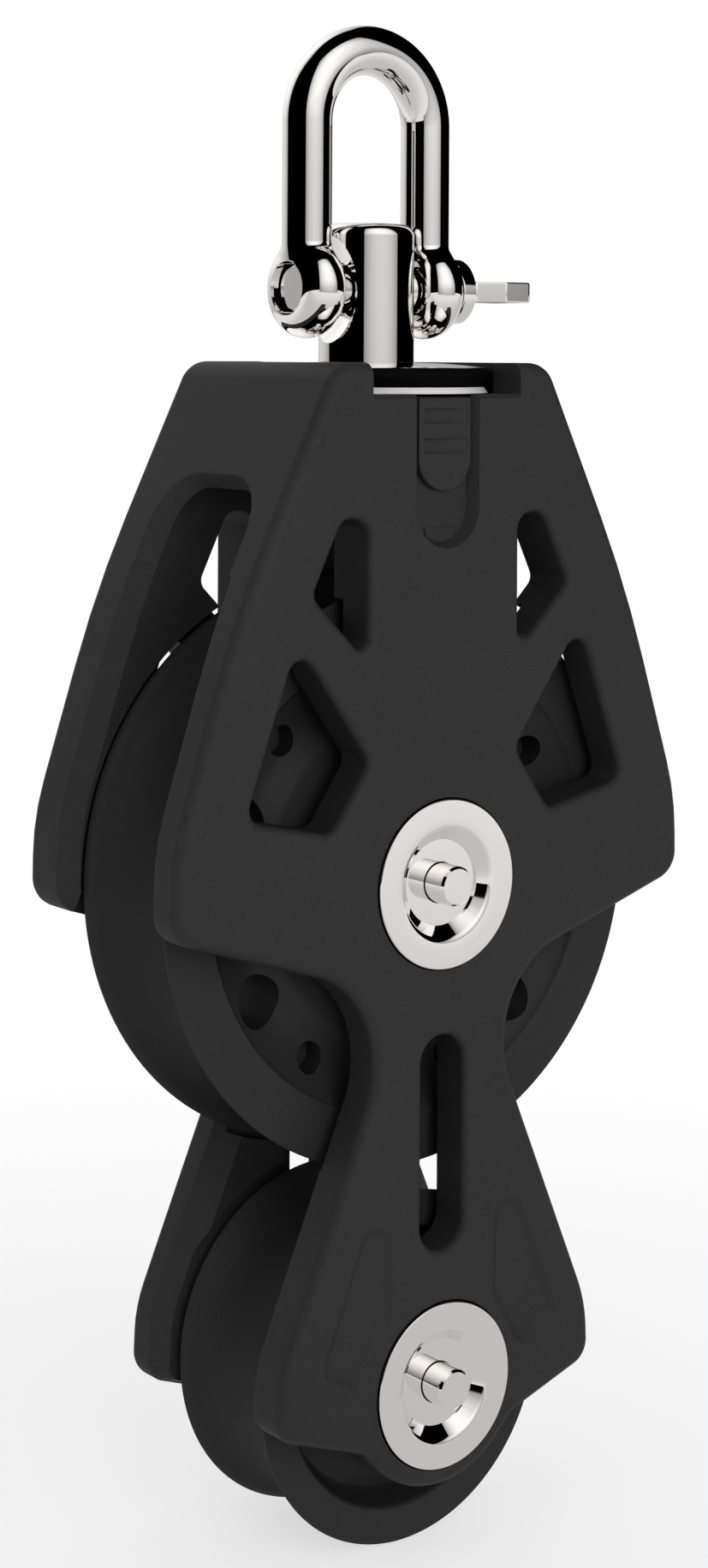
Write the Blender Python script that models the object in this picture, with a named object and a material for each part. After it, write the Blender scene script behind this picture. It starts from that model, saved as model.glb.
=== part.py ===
"""Fiddle block: two ball-bearing sheaves in line in a moulded shell, hung on a lockable swivel shackle.

Lengths below are millimetres and the meshes are metres. The drawing's own zero is the centre of the
upper axle, with +X to the right, +Y to the rear and +Z up. The frame empty then lowers the drawing so
that the world origin is the inside of the shackle's crown, where the block hangs.
"""

import math

import bmesh
import bpy
from mathutils import Matrix

MM = 0.001

# Clearances
SEAT_GAP = 0.3
TURNED_GAP = 0.1
SHEAVE_SIDE_GAP = 0.55

# Sheaves
UPPER_SHEAVE_R = 30.0
LOWER_SHEAVE_R = 18.0
SHEAVE_GAP = 2.9
SHEAVE_WIDTH = 14.9
UPPER_GROOVE_DEPTH = 5.0
LOWER_GROOVE_DEPTH = 4.0
GROOVE_ARC_R = 5.6
RIM_EDGE = 0.4
UPPER_RIM_FACE = 5.2
LOWER_RIM_FACE = 3.8
RIM_STEP = 0.35
SHEAVE_HUB_WIDTH = 10.4
SHEAVE_HUB_WALL = 0.6
WEB_HOLE_PAIRS = 7
WEB_HOLE_CIRCLE_R = 20.9
WEB_BIG_HOLE_R = 2.7
WEB_SMALL_HOLE_R = 1.65
WEB_HOLE_TURN = 32.1
WEB_DISH_SHARE = 0.45
WEB_DISH_RISE = 0.72

# Bearings
UPPER_BALL_R = 3.0
LOWER_BALL_R = 2.1
UPPER_BALL_CIRCLE_R = 13.0
LOWER_BALL_CIRCLE_R = 9.2
UPPER_BALLS = 12
LOWER_BALLS = 12
RACE_SHOULDER = 0.5
RACE_DEPTH_SHARE = 1 / 3
RACE_WIDTH = 12.8
THRUST_WASHER_T = 0.9
THRUST_WASHER_RIM = 0.9

# Axles
AXLE_R = 5.0
AXLE_PIN_R = 1.94
AXLE_PIN_PROUD = 1.6
AXLE_PIN_CHAMFER = 0.3
UPPER_DISC_R = 8.63
LOWER_DISC_R = 8.39
DISC_T = 2.0
DISC_RIM_GAP = 0.15
DISC_PROUD = 0.3
DISC_EDGE = 0.2
DISC_LAND = 2.33
DISC_DISH_R = 4.2
DISC_DISH_DEPTH = 1.2

# Shell
CHEEK_T = 5.9
EDGE_FILLET = 1.4
FLARE_WIDTH = 3.1
FLARE_DEPTH = 1.7
ROPE_HEADROOM = 10.0
HEAD_HEIGHT = 12.9
HEAD_HALF_WIDTH = 13.6
HEAD_CORNER_R = 3.2
SIDE_BEND_INSIDE_RIM = 5.1
SIDE_BEND_BELOW_RIM = 0.8
SIDE_BEND_R = 120.0
RIM_COVER = 2.6
SKIRT_FLARE = 0.1
SKIRT_TOP_Z = 6.2
SKIRT_TOP_R = 26.0
SKIRT_FOOT_Z = -1.9
SKIRT_CORNER_R = 3.2
NECK_HALF_WIDTH = 8.3
NECK_TOP_Z = -9.7
NECK_TOP_R = 10.0
NECK_FOOT_Z = -19.6
NECK_FOOT_R = 9.0
LOWER_COVER = 1.6
LOWER_FLARE = 0.25
LOWER_TOP_ABOVE_AXLE = 4.5
LOWER_TOP_R = 14.0
LOWER_FOOT_BELOW_AXLE = 1.5
LOWER_CORNER_R = 2.8
LOBE_R = 10.4
LOBE_FLAT = 0.3
LOBE_TURN = math.radians(30)
LOBE_JOIN_SHARE = 0.52
LOBE_JOIN_R = 3.0
ARCH_CORNER_R = 4.0
JOIN_INSET = 0.02
SHARPEST_R = 0.08

# Shell windows, as corners (x, z, corner radius) on the right-hand side
UPPER_WINDOW = [(9.35, 23.6, 0.8), (16.6, 30.6, 1.5), (13.2, 38.6, 1.8), (9.35, 38.0, 1.8)]
LOWER_WINDOW = [(13.9, 5.6, 1.6), (24.9, 8.3, 1.6), (18.9, 26.2, 1.6), (8.7, 12.9, 1.6)]
SLOT_HALF_WIDTH = 2.75
SLOT_END_SHARE = 0.98
SLOT_TOP_BELOW_UPPER_AXLE = 15.5
SLOT_FOOT_ABOVE_LOWER_AXLE = 13.6

# Swivel head
POST_R = 5.03
POST_TOP_ABOVE_SHELL = 14.5
POST_TOP_EDGE = 1.3
SHANK_R = 4.0
HEAD_PLATE_R = 13.2
HEAD_PLATE_HALF_FLATS = 11.1
HEAD_PLATE_T = 2.9
HEAD_PLATE_WAIST = 0.9
HEAD_PLATE_LIP = 0.3
HEAD_PLATE_LIP_T = 0.55
HEAD_PLATE_BELOW_TOP = 0.3
# The plate's rounded edge, as (inset, height) in shares of its bead's thickness
HEAD_PLATE_BEAD_SHARES = [(0.096, 0.32), (0.0, 0.58), (0.05, 0.8), (0.25, 1.0)]
BUSH_WALL = 1.3
BUSH_COLLAR = 1.6
BUSH_COLLAR_T = 0.9
SWIVEL_WASHER_T = 0.8
NUT_T = 3.4
NUT_HALF_FLATS = 6.5
NOTCH_HALF_WIDTH = 9.6

# Swivel lock slider
SLIDER_HALF_WIDTH = 3.35
SLIDER_HEIGHT = 9.5
SLIDER_T = 0.8
SLIDER_BELOW_FACE = 0.2
SLIDER_DOVETAIL = 1.2
SLIDER_TRAVEL = 4.7
SLIDER_MOUTH_CHAMFER = 0.65
SLIDER_MOUTH_DEPTH = 0.35
GRIP_HALF_WIDTH = 2.76
GRIP_HEIGHT = 1.6
GRIP_PITCH = 3.0
GRIP_DEPTH = 0.35
GRIP_BELOW_TOP = 1.3

# Shackle
BAR_R = 2.6
LEG_X = 7.8
PIN_ABOVE_SHELL = 7.6
BOW_ABOVE_PIN = 17.45
EAR_R = 5.15
EAR_NECK_R = 0.8
EAR_FOOT_ANGLE = -80
EAR_WELL_FLOOR_X = 3.1
EAR_WELL_R = 9.2
EAR_WELL_REACH = 6.5
SHACKLE_PIN_R = 2.5
PIN_END_RECESS = 0.85
PIN_END_CHAMFER = 0.35
COLLAR_GAP = 0.2
COLLAR_R = 3.5
COLLAR_T = 1.6
COLLAR_CONE = 1.8
COLLAR_EDGE = 0.5
TAB_T = 2.2
TAB_HALF_WIDTH = 3.0
TAB_STEM_HALF_WIDTH = 1.3
TAB_STEM_LENGTH = 1.8
TAB_FLARE_LENGTH = 2.8
TAB_LENGTH = 8.1
TAB_HOLE_R = 1.3
TAB_HOLE_FROM_TIP = 2.3
TAB_END_R = 0.5
TAB_ROOT_R = 0.2
TAB_OVERLAP = 0.3

# Facets
ARC_STEP = math.radians(28)
LARGE_TURN = 32
LOWER_SHEAVE_TURN = 28
POST_TURN = 24
MEDIUM_TURN = 24
SMALL_TURN = 16
HIDDEN_TURN = 12
FILLET_STEPS = 2
RACE_STEPS = 4
GROOVE_STEPS = 6
EAR_STEPS = 7
EAR_WELL_STEPS = 3
CROWN_STEPS = 6
NECK_STEPS = 2
EDGE_STEPS = 4
PLATE_STEPS = 10
TONGUE_STEPS = 8
SHARP_ANGLE = math.radians(35)
CUT_OVER = 1.0
BALL_TURN = 8
HOLE_TURN = 8

# Places that follow from the sizes above
AXLE_SPACING = UPPER_SHEAVE_R + LOWER_SHEAVE_R + SHEAVE_GAP
CHEEK_INNER = SHEAVE_WIDTH / 2 + SHEAVE_SIDE_GAP
CHEEK_OUTER = CHEEK_INNER + CHEEK_T
CEILING_Z = UPPER_SHEAVE_R + ROPE_HEADROOM
SHELL_TOP_Z = CEILING_Z + HEAD_HEIGHT
SKIRT_X = UPPER_SHEAVE_R + RIM_COVER
PLATE_TOP_Z = SHELL_TOP_Z - HEAD_PLATE_BELOW_TOP
PLATE_BOTTOM_Z = PLATE_TOP_Z - HEAD_PLATE_T
POCKET_FLOOR_Z = PLATE_BOTTOM_Z - SEAT_GAP
NUT_BOTTOM_Z = CEILING_Z + SEAT_GAP
NUT_TOP_Z = NUT_BOTTOM_Z + NUT_T
NUT_SEAT_Z = NUT_TOP_Z + SEAT_GAP + SWIVEL_WASHER_T + SEAT_GAP
SHANK_HOLE_R = SHANK_R + TURNED_GAP
POST_TOP_Z = SHELL_TOP_Z + POST_TOP_ABOVE_SHELL
PIN_Z = SHELL_TOP_Z + PIN_ABOVE_SHELL
BOW_Z = PIN_Z + BOW_ABOVE_PIN
CROWN_INSIDE_Z = BOW_Z + LEG_X - BAR_R
EAR_OUTER_X = LEG_X + BAR_R
SLIDER_TOP_Z = POCKET_FLOOR_Z - TURNED_GAP
SLIDER_ARC_Z = SLIDER_TOP_Z - SLIDER_HEIGHT + SLIDER_HALF_WIDTH
DISC_FACE_Y = CHEEK_OUTER + DISC_PROUD
DISC_BACK_Y = DISC_FACE_Y - DISC_T

PLASTIC = ("moulded_plastic", (0.030, 0.030, 0.031), 0.55, 0.0)
SHEAVE_PLASTIC = ("sheave_plastic", (0.026, 0.026, 0.027), 0.50, 0.0)
STEEL = ("polished_steel", (0.72, 0.71, 0.70), 0.06, 1.0)
RACE_STEEL = ("race_steel", (0.56, 0.56, 0.57), 0.22, 1.0)
ACETAL = ("acetal", (0.70, 0.69, 0.66), 0.45, 0.0)


def clear_scene():
    for item in list(bpy.data.objects):
        bpy.data.objects.remove(item, do_unlink=True)


def empty(name, z, parent=None):
    """An empty on the swivel axis, at height z under its parent."""
    holder = bpy.data.objects.new(name, None)
    bpy.context.scene.collection.objects.link(holder)
    holder.parent = parent
    holder.location = (0, 0, z * MM)
    return holder


def principled(name, look):
    finish, colour, roughness, metallic = look
    material = bpy.data.materials.new(f"{name}_{finish}")
    material.use_nodes = True
    shader = material.node_tree.nodes["Principled BSDF"]
    shader.inputs["Base Color"].default_value = (*colour, 1)
    shader.inputs["Roughness"].default_value = roughness
    shader.inputs["Metallic"].default_value = metallic
    return material


def place(bm, name, parent, look=None, at=(0, 0, 0)):
    """Turn a bmesh drawn in millimetres into an object; with no look it is a hidden cutter."""
    bmesh.ops.recalc_face_normals(bm, faces=bm.faces)
    bmesh.ops.scale(bm, vec=(MM, MM, MM), verts=bm.verts)
    mesh = bpy.data.meshes.new(name)
    bm.to_mesh(mesh)
    bm.free()
    item = bpy.data.objects.new(name, mesh)
    bpy.context.scene.collection.objects.link(item)
    item.parent = parent
    item.location = [c * MM for c in at]
    if look is None:
        item.hide_render = True
        item.display_type = "WIRE"
        return item
    mesh.materials.append(principled(name, look))
    mesh.shade_smooth()
    mesh.set_sharp_from_angle(angle=SHARP_ANGLE)
    return item


def boolean(item, tool, operation):
    modifier = item.modifiers.new(f"{operation.lower()}_{tool.name}", "BOOLEAN")
    modifier.operation = operation
    modifier.solver = "EXACT"
    modifier.object = tool


def rounded(corners, grow=0.0):
    """Points of a counter-clockwise polygon (x, z, radius), corners rounded, sides moved out by grow."""
    count = len(corners)
    lines = []
    for i in range(count):
        (x0, z0, _), (x1, z1, _) = corners[i], corners[(i + 1) % count]
        length = math.hypot(x1 - x0, z1 - z0)
        ux, uz = (x1 - x0) / length, (z1 - z0) / length
        lines.append((x0 + uz * grow, z0 - ux * grow, ux, uz))
    points = []
    for i in range(count):
        ax, az, aux, auz = lines[i - 1]
        bx, bz, bux, buz = lines[i]
        cross = aux * buz - auz * bux
        along = ((bx - ax) * buz - (bz - az) * bux) / cross
        px, pz = ax + aux * along, az + auz * along
        turn = math.atan2(cross, aux * bux + auz * buz)
        side = 1 if turn > 0 else -1
        radius = max(corners[i][2] + side * grow, SHARPEST_R)
        reach = radius * math.tan(abs(turn) / 2)
        cx = px - aux * reach - auz * radius * side
        cz = pz - auz * reach + aux * radius * side
        start = math.atan2(pz - auz * reach - cz, px - aux * reach - cx)
        steps = max(2, math.ceil(abs(turn) / ARC_STEP))
        for k in range(steps + 1):
            angle = start + turn * k / steps
            points.append((cx + radius * math.cos(angle), cz + radius * math.sin(angle)))
    return points


def circle(radius, z=0.0, turn=MEDIUM_TURN):
    angles = [2 * math.pi * k / turn for k in range(turn)]
    return [(radius * math.cos(a), z + radius * math.sin(a)) for a in angles]


def skin(bm, loops):
    """Join closed loops of equal count with quads and return the loops' vertices."""
    rows = [[bm.verts.new(p) for p in loop] for loop in loops]
    for low, high in zip(rows, rows[1:]):
        for i in range(len(low)):
            j = (i + 1) % len(low)
            bm.faces.new((low[i], low[j], high[j], high[i]))
    return rows


def cap(bm, loops):
    """Fill a flat face whose first loop is its edge and whose other loops are holes."""
    edges = []
    for loop in loops:
        for i in range(len(loop)):
            edges.append(bm.edges.get((loop[i], loop[(i + 1) % len(loop)])))
    bmesh.ops.triangle_fill(bm, edges=edges, use_beauty=True, use_dissolve=False)


def prism(stations, axis="Y"):
    """A closed solid through flat loops of (u, v) points, each with its place along the axis."""
    bm = bmesh.new()
    if axis == "Y":
        loops = [[(u, at, v) for u, v in loop] for loop, at in stations]
    elif axis == "X":
        loops = [[(at, u, v) for u, v in loop] for loop, at in stations]
    else:
        loops = [[(u, v, at) for u, v in loop] for loop, at in stations]
    rows = skin(bm, loops)
    cap(bm, rows[:1])
    cap(bm, rows[-1:])
    return bm


def box(x, y, z):
    bm = bmesh.new()
    spans = (x, y, z)
    middle = [(a + b) / 2 for a, b in spans]
    size = [b - a for a, b in spans]
    matrix = Matrix.Translation(middle) @ Matrix.Diagonal((*size, 1))
    bmesh.ops.create_cube(bm, size=1, matrix=matrix)
    return bm


def lathe(profile, turn, axis):
    """Turn a profile of (radius, height) points about an axis; a profile off the axis is closed."""
    bm = bmesh.new()
    verts = [bm.verts.new((r, 0, h)) for r, h in profile]
    edges = [bm.edges.new(pair) for pair in zip(verts, verts[1:])]
    if profile[0][0] > 0:
        edges.append(bm.edges.new((verts[-1], verts[0])))
    bmesh.ops.spin(bm, geom=verts + edges, axis=(0, 0, 1), cent=(0, 0, 0),
                   angle=2 * math.pi, steps=turn, use_merge=True)
    bmesh.ops.remove_doubles(bm, verts=bm.verts, dist=1e-4)
    if axis == "Y":
        bmesh.ops.rotate(bm, verts=bm.verts, matrix=Matrix.Rotation(-math.pi / 2, 3, "X"))
    elif axis == "X":
        bmesh.ops.rotate(bm, verts=bm.verts, matrix=Matrix.Rotation(math.pi / 2, 3, "Y"))
    return bm


def arc(cr, ch, radius, first, last, steps):
    """Points of an arc in a profile, from one angle to another in degrees."""
    angles = [math.radians(first + (last - first) * k / steps) for k in range(steps + 1)]
    return [(cr + radius * math.cos(a), ch + radius * math.sin(a)) for a in angles]


def move(bm, x=0.0, y=0.0, z=0.0):
    bmesh.ops.translate(bm, verts=bm.verts, vec=(x, y, z))
    return bm


def cheek_corners():
    """The cheek's outline: broad over the upper sheave, waisted, then broad again over the lower one."""
    low = -AXLE_SPACING
    lower_x = LOWER_SHEAVE_R + LOWER_COVER
    right = [
        (LOBE_R * math.tan(LOBE_TURN) + LOBE_FLAT, low - LOBE_R, LOBE_R),
        (LOBE_R * math.cos(LOBE_TURN), low - LOBE_R * LOBE_JOIN_SHARE, LOBE_JOIN_R),
        (lower_x + LOWER_FLARE, low - LOWER_FOOT_BELOW_AXLE, LOWER_CORNER_R),
        (lower_x, low + LOWER_TOP_ABOVE_AXLE, LOWER_TOP_R),
        (NECK_HALF_WIDTH, NECK_FOOT_Z, NECK_FOOT_R),
        (NECK_HALF_WIDTH, NECK_TOP_Z, NECK_TOP_R),
        (SKIRT_X + SKIRT_FLARE, SKIRT_FOOT_Z, SKIRT_CORNER_R),
        (SKIRT_X, SKIRT_TOP_Z, SKIRT_TOP_R),
        (UPPER_SHEAVE_R - SIDE_BEND_INSIDE_RIM, UPPER_SHEAVE_R - SIDE_BEND_BELOW_RIM, SIDE_BEND_R),
        (HEAD_HALF_WIDTH, SHELL_TOP_Z, HEAD_CORNER_R),
    ]
    return right + flipped(right)


def half_width_at(points, z):
    """The outline's half width at a height."""
    for (x0, z0), (x1, z1) in zip(points, points[1:]):
        if x0 > 0 and x1 > 0 and min(z0, z1) <= z <= max(z0, z1) and z0 != z1:
            return x0 + (x1 - x0) * (z - z0) / (z1 - z0)
    return HEAD_HALF_WIDTH


def above(points, z):
    """The part of a closed outline above a height."""
    kept = []
    for (x0, z0), (x1, z1) in zip(points, points[1:] + points[:1]):
        if z0 >= z:
            kept.append((x0, z0))
        if (z0 < z) != (z1 < z):
            kept.append((x0 + (x1 - x0) * (z - z0) / (z1 - z0), z))
    return kept


def edge_round(sign):
    """(growth, y) stations of the fillet between the outer face and a wall."""
    stations = []
    for k in range(FILLET_STEPS + 1):
        angle = math.pi / 2 * k / FILLET_STEPS
        grow = sign * EDGE_FILLET * (1 - math.sin(angle))
        stations.append((grow, -CHEEK_OUTER + EDGE_FILLET * (1 - math.cos(angle))))
    return stations


def flipped(corners):
    """The same corners on the left-hand side."""
    return [(-x, z, r) for x, z, r in reversed(corners)]


def windows():
    slot_foot = -AXLE_SPACING + SLOT_FOOT_ABOVE_LOWER_AXLE
    w = SLOT_HALF_WIDTH
    end = w * SLOT_END_SHARE
    slot = [(-w, slot_foot, end), (w, slot_foot, end),
            (w, -SLOT_TOP_BELOW_UPPER_AXLE, end), (-w, -SLOT_TOP_BELOW_UPPER_AXLE, end)]
    shapes = [slot]
    for shape in (UPPER_WINDOW, LOWER_WINDOW):
        shapes.append(shape)
        shapes.append(flipped(shape))
    return shapes


def cheek():
    """The front cheek: fillet round its outer face, rope flare round its inner face, holes through."""
    bm = bmesh.new()
    outline = cheek_corners()
    stations = edge_round(-1)
    stations.append((0.0, -CHEEK_INNER - FLARE_DEPTH))
    stations.append((-FLARE_WIDTH, -CHEEK_INNER))
    rows = skin(bm, [[(x, y, z) for x, z in rounded(outline, grow)] for grow, y in stations])
    outer, inner = [rows[0]], [rows[-1]]
    for shape in windows():
        stations = edge_round(1) + [(0.0, -CHEEK_INNER)]
        rows = skin(bm, [[(x, y, z) for x, z in rounded(shape, grow)] for grow, y in stations])
        outer.append(rows[0])
        inner.append(rows[-1])
    for z, disc_r in ((0.0, UPPER_DISC_R), (-AXLE_SPACING, LOWER_DISC_R)):
        seat_y = -DISC_BACK_Y + SEAT_GAP
        seat_r = disc_r + DISC_RIM_GAP
        bore_r = AXLE_R + SEAT_GAP
        steps = [(seat_r, -CHEEK_OUTER), (seat_r, seat_y), (bore_r, seat_y), (bore_r, -CHEEK_INNER)]
        rows = skin(bm, [[(x, y, v) for x, v in circle(r, z)] for r, y in steps])
        outer.append(rows[0])
        inner.append(rows[-1])
    cap(bm, outer)
    cap(bm, inner)
    return bm


def cheek_pair():
    """The front cheek and its mirror image at the rear, as two bodies."""
    bm = cheek()
    rear = bmesh.ops.duplicate(bm, geom=bm.verts[:] + bm.edges[:] + bm.faces[:])["geom"]
    verts = [item for item in rear if isinstance(item, bmesh.types.BMVert)]
    faces = [item for item in rear if isinstance(item, bmesh.types.BMFace)]
    bmesh.ops.scale(bm, vec=(1, -1, 1), verts=verts)
    bmesh.ops.reverse_faces(bm, faces=faces)
    return bm


def head():
    """The solid head that joins the cheeks above the rope arch."""
    outline = above(rounded(cheek_corners(), -JOIN_INSET), CEILING_Z - 2 * ARCH_CORNER_R)
    depth = CHEEK_INNER + CHEEK_T / 2
    return prism([(outline, -depth), (outline, depth)])


def window_passage(shape):
    """A straight passage that carries a window on through the head."""
    outline = rounded(shape, SEAT_GAP)
    return prism([(outline, -CHEEK_OUTER), (outline, CHEEK_OUTER)])


def plate_outline(clearance):
    """A disc with flats towards the shell's sides, where the head is too narrow for its full round."""
    radius = HEAD_PLATE_R + clearance
    flat = HEAD_PLATE_HALF_FLATS + clearance
    reach = math.degrees(math.acos(flat / radius))
    rear = arc(0, 0, radius, reach, 180 - reach, PLATE_STEPS)
    return rear + [(-x, -y) for x, y in rear]


def rope_arch():
    """The tunnel under the head, flared towards both sides of the shell."""
    mouth_x = half_width_at(rounded(cheek_corners()), CEILING_Z + FLARE_DEPTH)
    slope = FLARE_DEPTH / FLARE_WIDTH
    beyond = 2 * FLARE_WIDTH
    foot = CEILING_Z - 6 * ARCH_CORNER_R

    def section(spread):
        wide = CHEEK_INNER + JOIN_INSET * 2 + spread
        tall = CEILING_Z + spread
        r = ARCH_CORNER_R + spread
        low = [(-wide, foot, SHARPEST_R), (wide, foot, SHARPEST_R)]
        return rounded(low + [(wide, tall, r), (-wide, tall, r)])

    far = section((FLARE_WIDTH + beyond) * slope)
    near = section(0.0)
    throat_x = mouth_x - FLARE_WIDTH
    end_x = mouth_x + beyond
    return prism([(far, -end_x), (near, -throat_x), (near, throat_x), (far, end_x)], "X")


def slider_outline(half_width, foot_arc_z, top_z):
    """A tongue with a half-round foot and a square top."""
    foot = arc(0.0, foot_arc_z, half_width, 180, 360, TONGUE_STEPS)
    return foot + [(half_width, top_z), (-half_width, top_z)]


def slider_recess():
    """The dovetailed track of the lock slider, open into the notch above it."""
    mouth = SLIDER_HALF_WIDTH + SEAT_GAP
    floor = mouth + SLIDER_DOVETAIL
    foot_z = SLIDER_ARC_Z - SLIDER_TRAVEL
    floor_y = -CHEEK_OUTER + SLIDER_BELOW_FACE + SLIDER_T + SEAT_GAP
    slope = SLIDER_DOVETAIL / (SLIDER_T + SLIDER_BELOW_FACE + SEAT_GAP)
    front = slider_outline(mouth - slope * CUT_OVER, foot_z, SHELL_TOP_Z)
    back = slider_outline(floor, foot_z, SHELL_TOP_Z)
    return prism([(front, -CHEEK_OUTER - CUT_OVER), (back, floor_y)])


def slider_mouth():
    """The chamfer round the mouth of the slider's track."""
    mouth = SLIDER_HALF_WIDTH + SEAT_GAP
    foot_z = SLIDER_ARC_Z - SLIDER_TRAVEL
    slope = SLIDER_MOUTH_CHAMFER / SLIDER_MOUTH_DEPTH
    wide = slider_outline(mouth + SLIDER_MOUTH_CHAMFER + slope * CUT_OVER, foot_z, SHELL_TOP_Z)
    narrow = slider_outline(mouth, foot_z, SHELL_TOP_Z)
    return prism([(wide, -CHEEK_OUTER - CUT_OVER), (narrow, -CHEEK_OUTER + SLIDER_MOUTH_DEPTH)])


def make_shell(frame):
    shell = place(head(), "shell", frame, PLASTIC)
    through = CHEEK_OUTER + EDGE_FILLET
    tall = SHELL_TOP_Z + HEAD_HEIGHT
    pocket = plate_outline(SEAT_GAP)
    bore_r = SHANK_HOLE_R + BUSH_WALL + SEAT_GAP
    collar_r = bore_r + BUSH_COLLAR
    collar_z = POCKET_FLOOR_Z - SEAT_GAP - BUSH_COLLAR_T
    below = CEILING_Z - CUT_OVER
    bore = [(0, below), (bore_r, below), (bore_r, collar_z),
            (collar_r, collar_z), (collar_r, tall), (0, tall)]
    nut_r = NUT_HALF_FLATS / math.cos(math.pi / 6) + SEAT_GAP
    foot = CEILING_Z - 2 * CUT_OVER
    nut_seat = [(0, foot), (nut_r, foot), (nut_r, NUT_SEAT_Z), (0, NUT_SEAT_Z)]
    notch = box((-NOTCH_HALF_WIDTH, NOTCH_HALF_WIDTH), (-through, 0), (POCKET_FLOOR_Z, tall))
    steps = [
        (rope_arch(), "rope_arch", "DIFFERENCE"),
        (window_passage(UPPER_WINDOW), "right_window", "DIFFERENCE"),
        (window_passage(flipped(UPPER_WINDOW)), "left_window", "DIFFERENCE"),
        (cheek_pair(), "cheek_pair", "UNION"),
        (prism([(pocket, POCKET_FLOOR_Z), (pocket, tall)], "Z"), "plate_pocket", "DIFFERENCE"),
        (lathe(bore, MEDIUM_TURN, "Z"), "swivel_bore", "DIFFERENCE"),
        (lathe(nut_seat, MEDIUM_TURN, "Z"), "nut_seat", "DIFFERENCE"),
        (notch, "lock_notch", "DIFFERENCE"),
        (slider_recess(), "slider_track", "DIFFERENCE"),
        (slider_mouth(), "slider_mouth", "DIFFERENCE"),
    ]
    for bm, name, operation in steps:
        boolean(shell, place(bm, f"cut_{name}", frame), operation)


def sheave_profile(rim_r, groove_depth, rim_face, ball_circle_r, ball_r):
    """Profile of a sheave from its front bore edge round the rope groove and back along the ball race."""
    half = SHEAVE_WIDTH / 2
    hub = SHEAVE_HUB_WIDTH / 2
    race_r = ball_r + TURNED_GAP
    bore_r = ball_circle_r + RACE_SHOULDER + ball_r * RACE_DEPTH_SHARE
    hub_r = ball_circle_r + race_r + SHEAVE_HUB_WALL
    face_r = rim_r - rim_face
    groove_c = rim_r - groove_depth + GROOVE_ARC_R
    mouth = math.degrees(math.acos((groove_c - rim_r) / GROOVE_ARC_R))
    race = math.degrees(math.acos((bore_r - ball_circle_r) / race_r))
    dish_r = hub_r + (face_r - hub_r) * WEB_DISH_SHARE
    dish_h = hub + (half - RIM_STEP - hub) * WEB_DISH_RISE
    side = [(bore_r, -hub), (hub_r, -hub), (dish_r, -dish_h), (face_r, -half + RIM_STEP), (face_r, -half),
            (rim_r - RIM_EDGE, -half), (rim_r, -half + RIM_EDGE)]
    groove = arc(groove_c, 0, GROOVE_ARC_R, 180 + mouth, 180 - mouth, GROOVE_STEPS)
    balls = arc(ball_circle_r, 0, race_r, race, -race, RACE_STEPS)
    return side + groove + [(r, -h) for r, h in reversed(side)] + balls


def make_sheave(name, parent, rim_r, groove_depth, rim_face, ball_circle_r, ball_r, turn):
    profile = sheave_profile(rim_r, groove_depth, rim_face, ball_circle_r, ball_r)
    return place(lathe(profile, turn, "Y"), name, parent, SHEAVE_PLASTIC)


def drill_web(sheave, parent):
    """Alternate large and small holes right through the upper sheave's web."""
    reach = SHEAVE_WIDTH
    bm = bmesh.new()
    for k in range(2 * WEB_HOLE_PAIRS):
        angle = math.radians(WEB_HOLE_TURN) + math.pi * k / WEB_HOLE_PAIRS
        hole_r = WEB_SMALL_HOLE_R if k % 2 == 0 else WEB_BIG_HOLE_R
        centre = (WEB_HOLE_CIRCLE_R * math.cos(angle), WEB_HOLE_CIRCLE_R * math.sin(angle))
        loop = [(centre[0] + x, centre[1] + z) for x, z in circle(hole_r, turn=HOLE_TURN)]
        rows = skin(bm, [[(x, y, z) for x, z in loop] for y in (-reach, reach)])
        cap(bm, rows[:1])
        cap(bm, rows[-1:])
    boolean(sheave, place(bm, "cut_web_holes", parent), "DIFFERENCE")


def make_bearing(prefix, parent, ball_circle_r, ball_r, balls):
    """Inner race on the axle, a full set of balls, and a thrust washer against each cheek."""
    half = RACE_WIDTH / 2
    race_r = ball_r + TURNED_GAP
    outer_r = ball_circle_r - RACE_SHOULDER - ball_r * RACE_DEPTH_SHARE
    inner_r = AXLE_R + TURNED_GAP
    race = math.degrees(math.acos((ball_circle_r - outer_r) / race_r))
    profile = [(inner_r, -half), (outer_r, -half)]
    profile += arc(ball_circle_r, 0, race_r, 180 + race, 180 - race, RACE_STEPS)
    profile += [(outer_r, half), (inner_r, half)]
    place(lathe(profile, HIDDEN_TURN, "Y"), f"{prefix}_inner_race", parent, RACE_STEEL)
    for k in range(balls):
        angle = 2 * math.pi * k / balls
        bm = bmesh.new()
        bmesh.ops.create_uvsphere(bm, u_segments=BALL_TURN, v_segments=BALL_TURN // 2, radius=ball_r)
        spot = (ball_circle_r * math.cos(angle), 0, ball_circle_r * math.sin(angle))
        place(bm, f"{prefix}_ball_{k + 1:02d}", parent, RACE_STEEL, spot)
    near = half + (CHEEK_INNER - half - THRUST_WASHER_T) / 2
    rim = outer_r + THRUST_WASHER_RIM
    for where, sign in (("front", -1), ("rear", 1)):
        far = near + THRUST_WASHER_T
        ring = [(inner_r, near), (rim, near), (rim, far), (inner_r, far)]
        ring = [(r, sign * h) for r, h in ring]
        place(lathe(ring, HIDDEN_TURN, "Y"), f"{prefix}_{where}_thrust_washer", parent, ACETAL)


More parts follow.
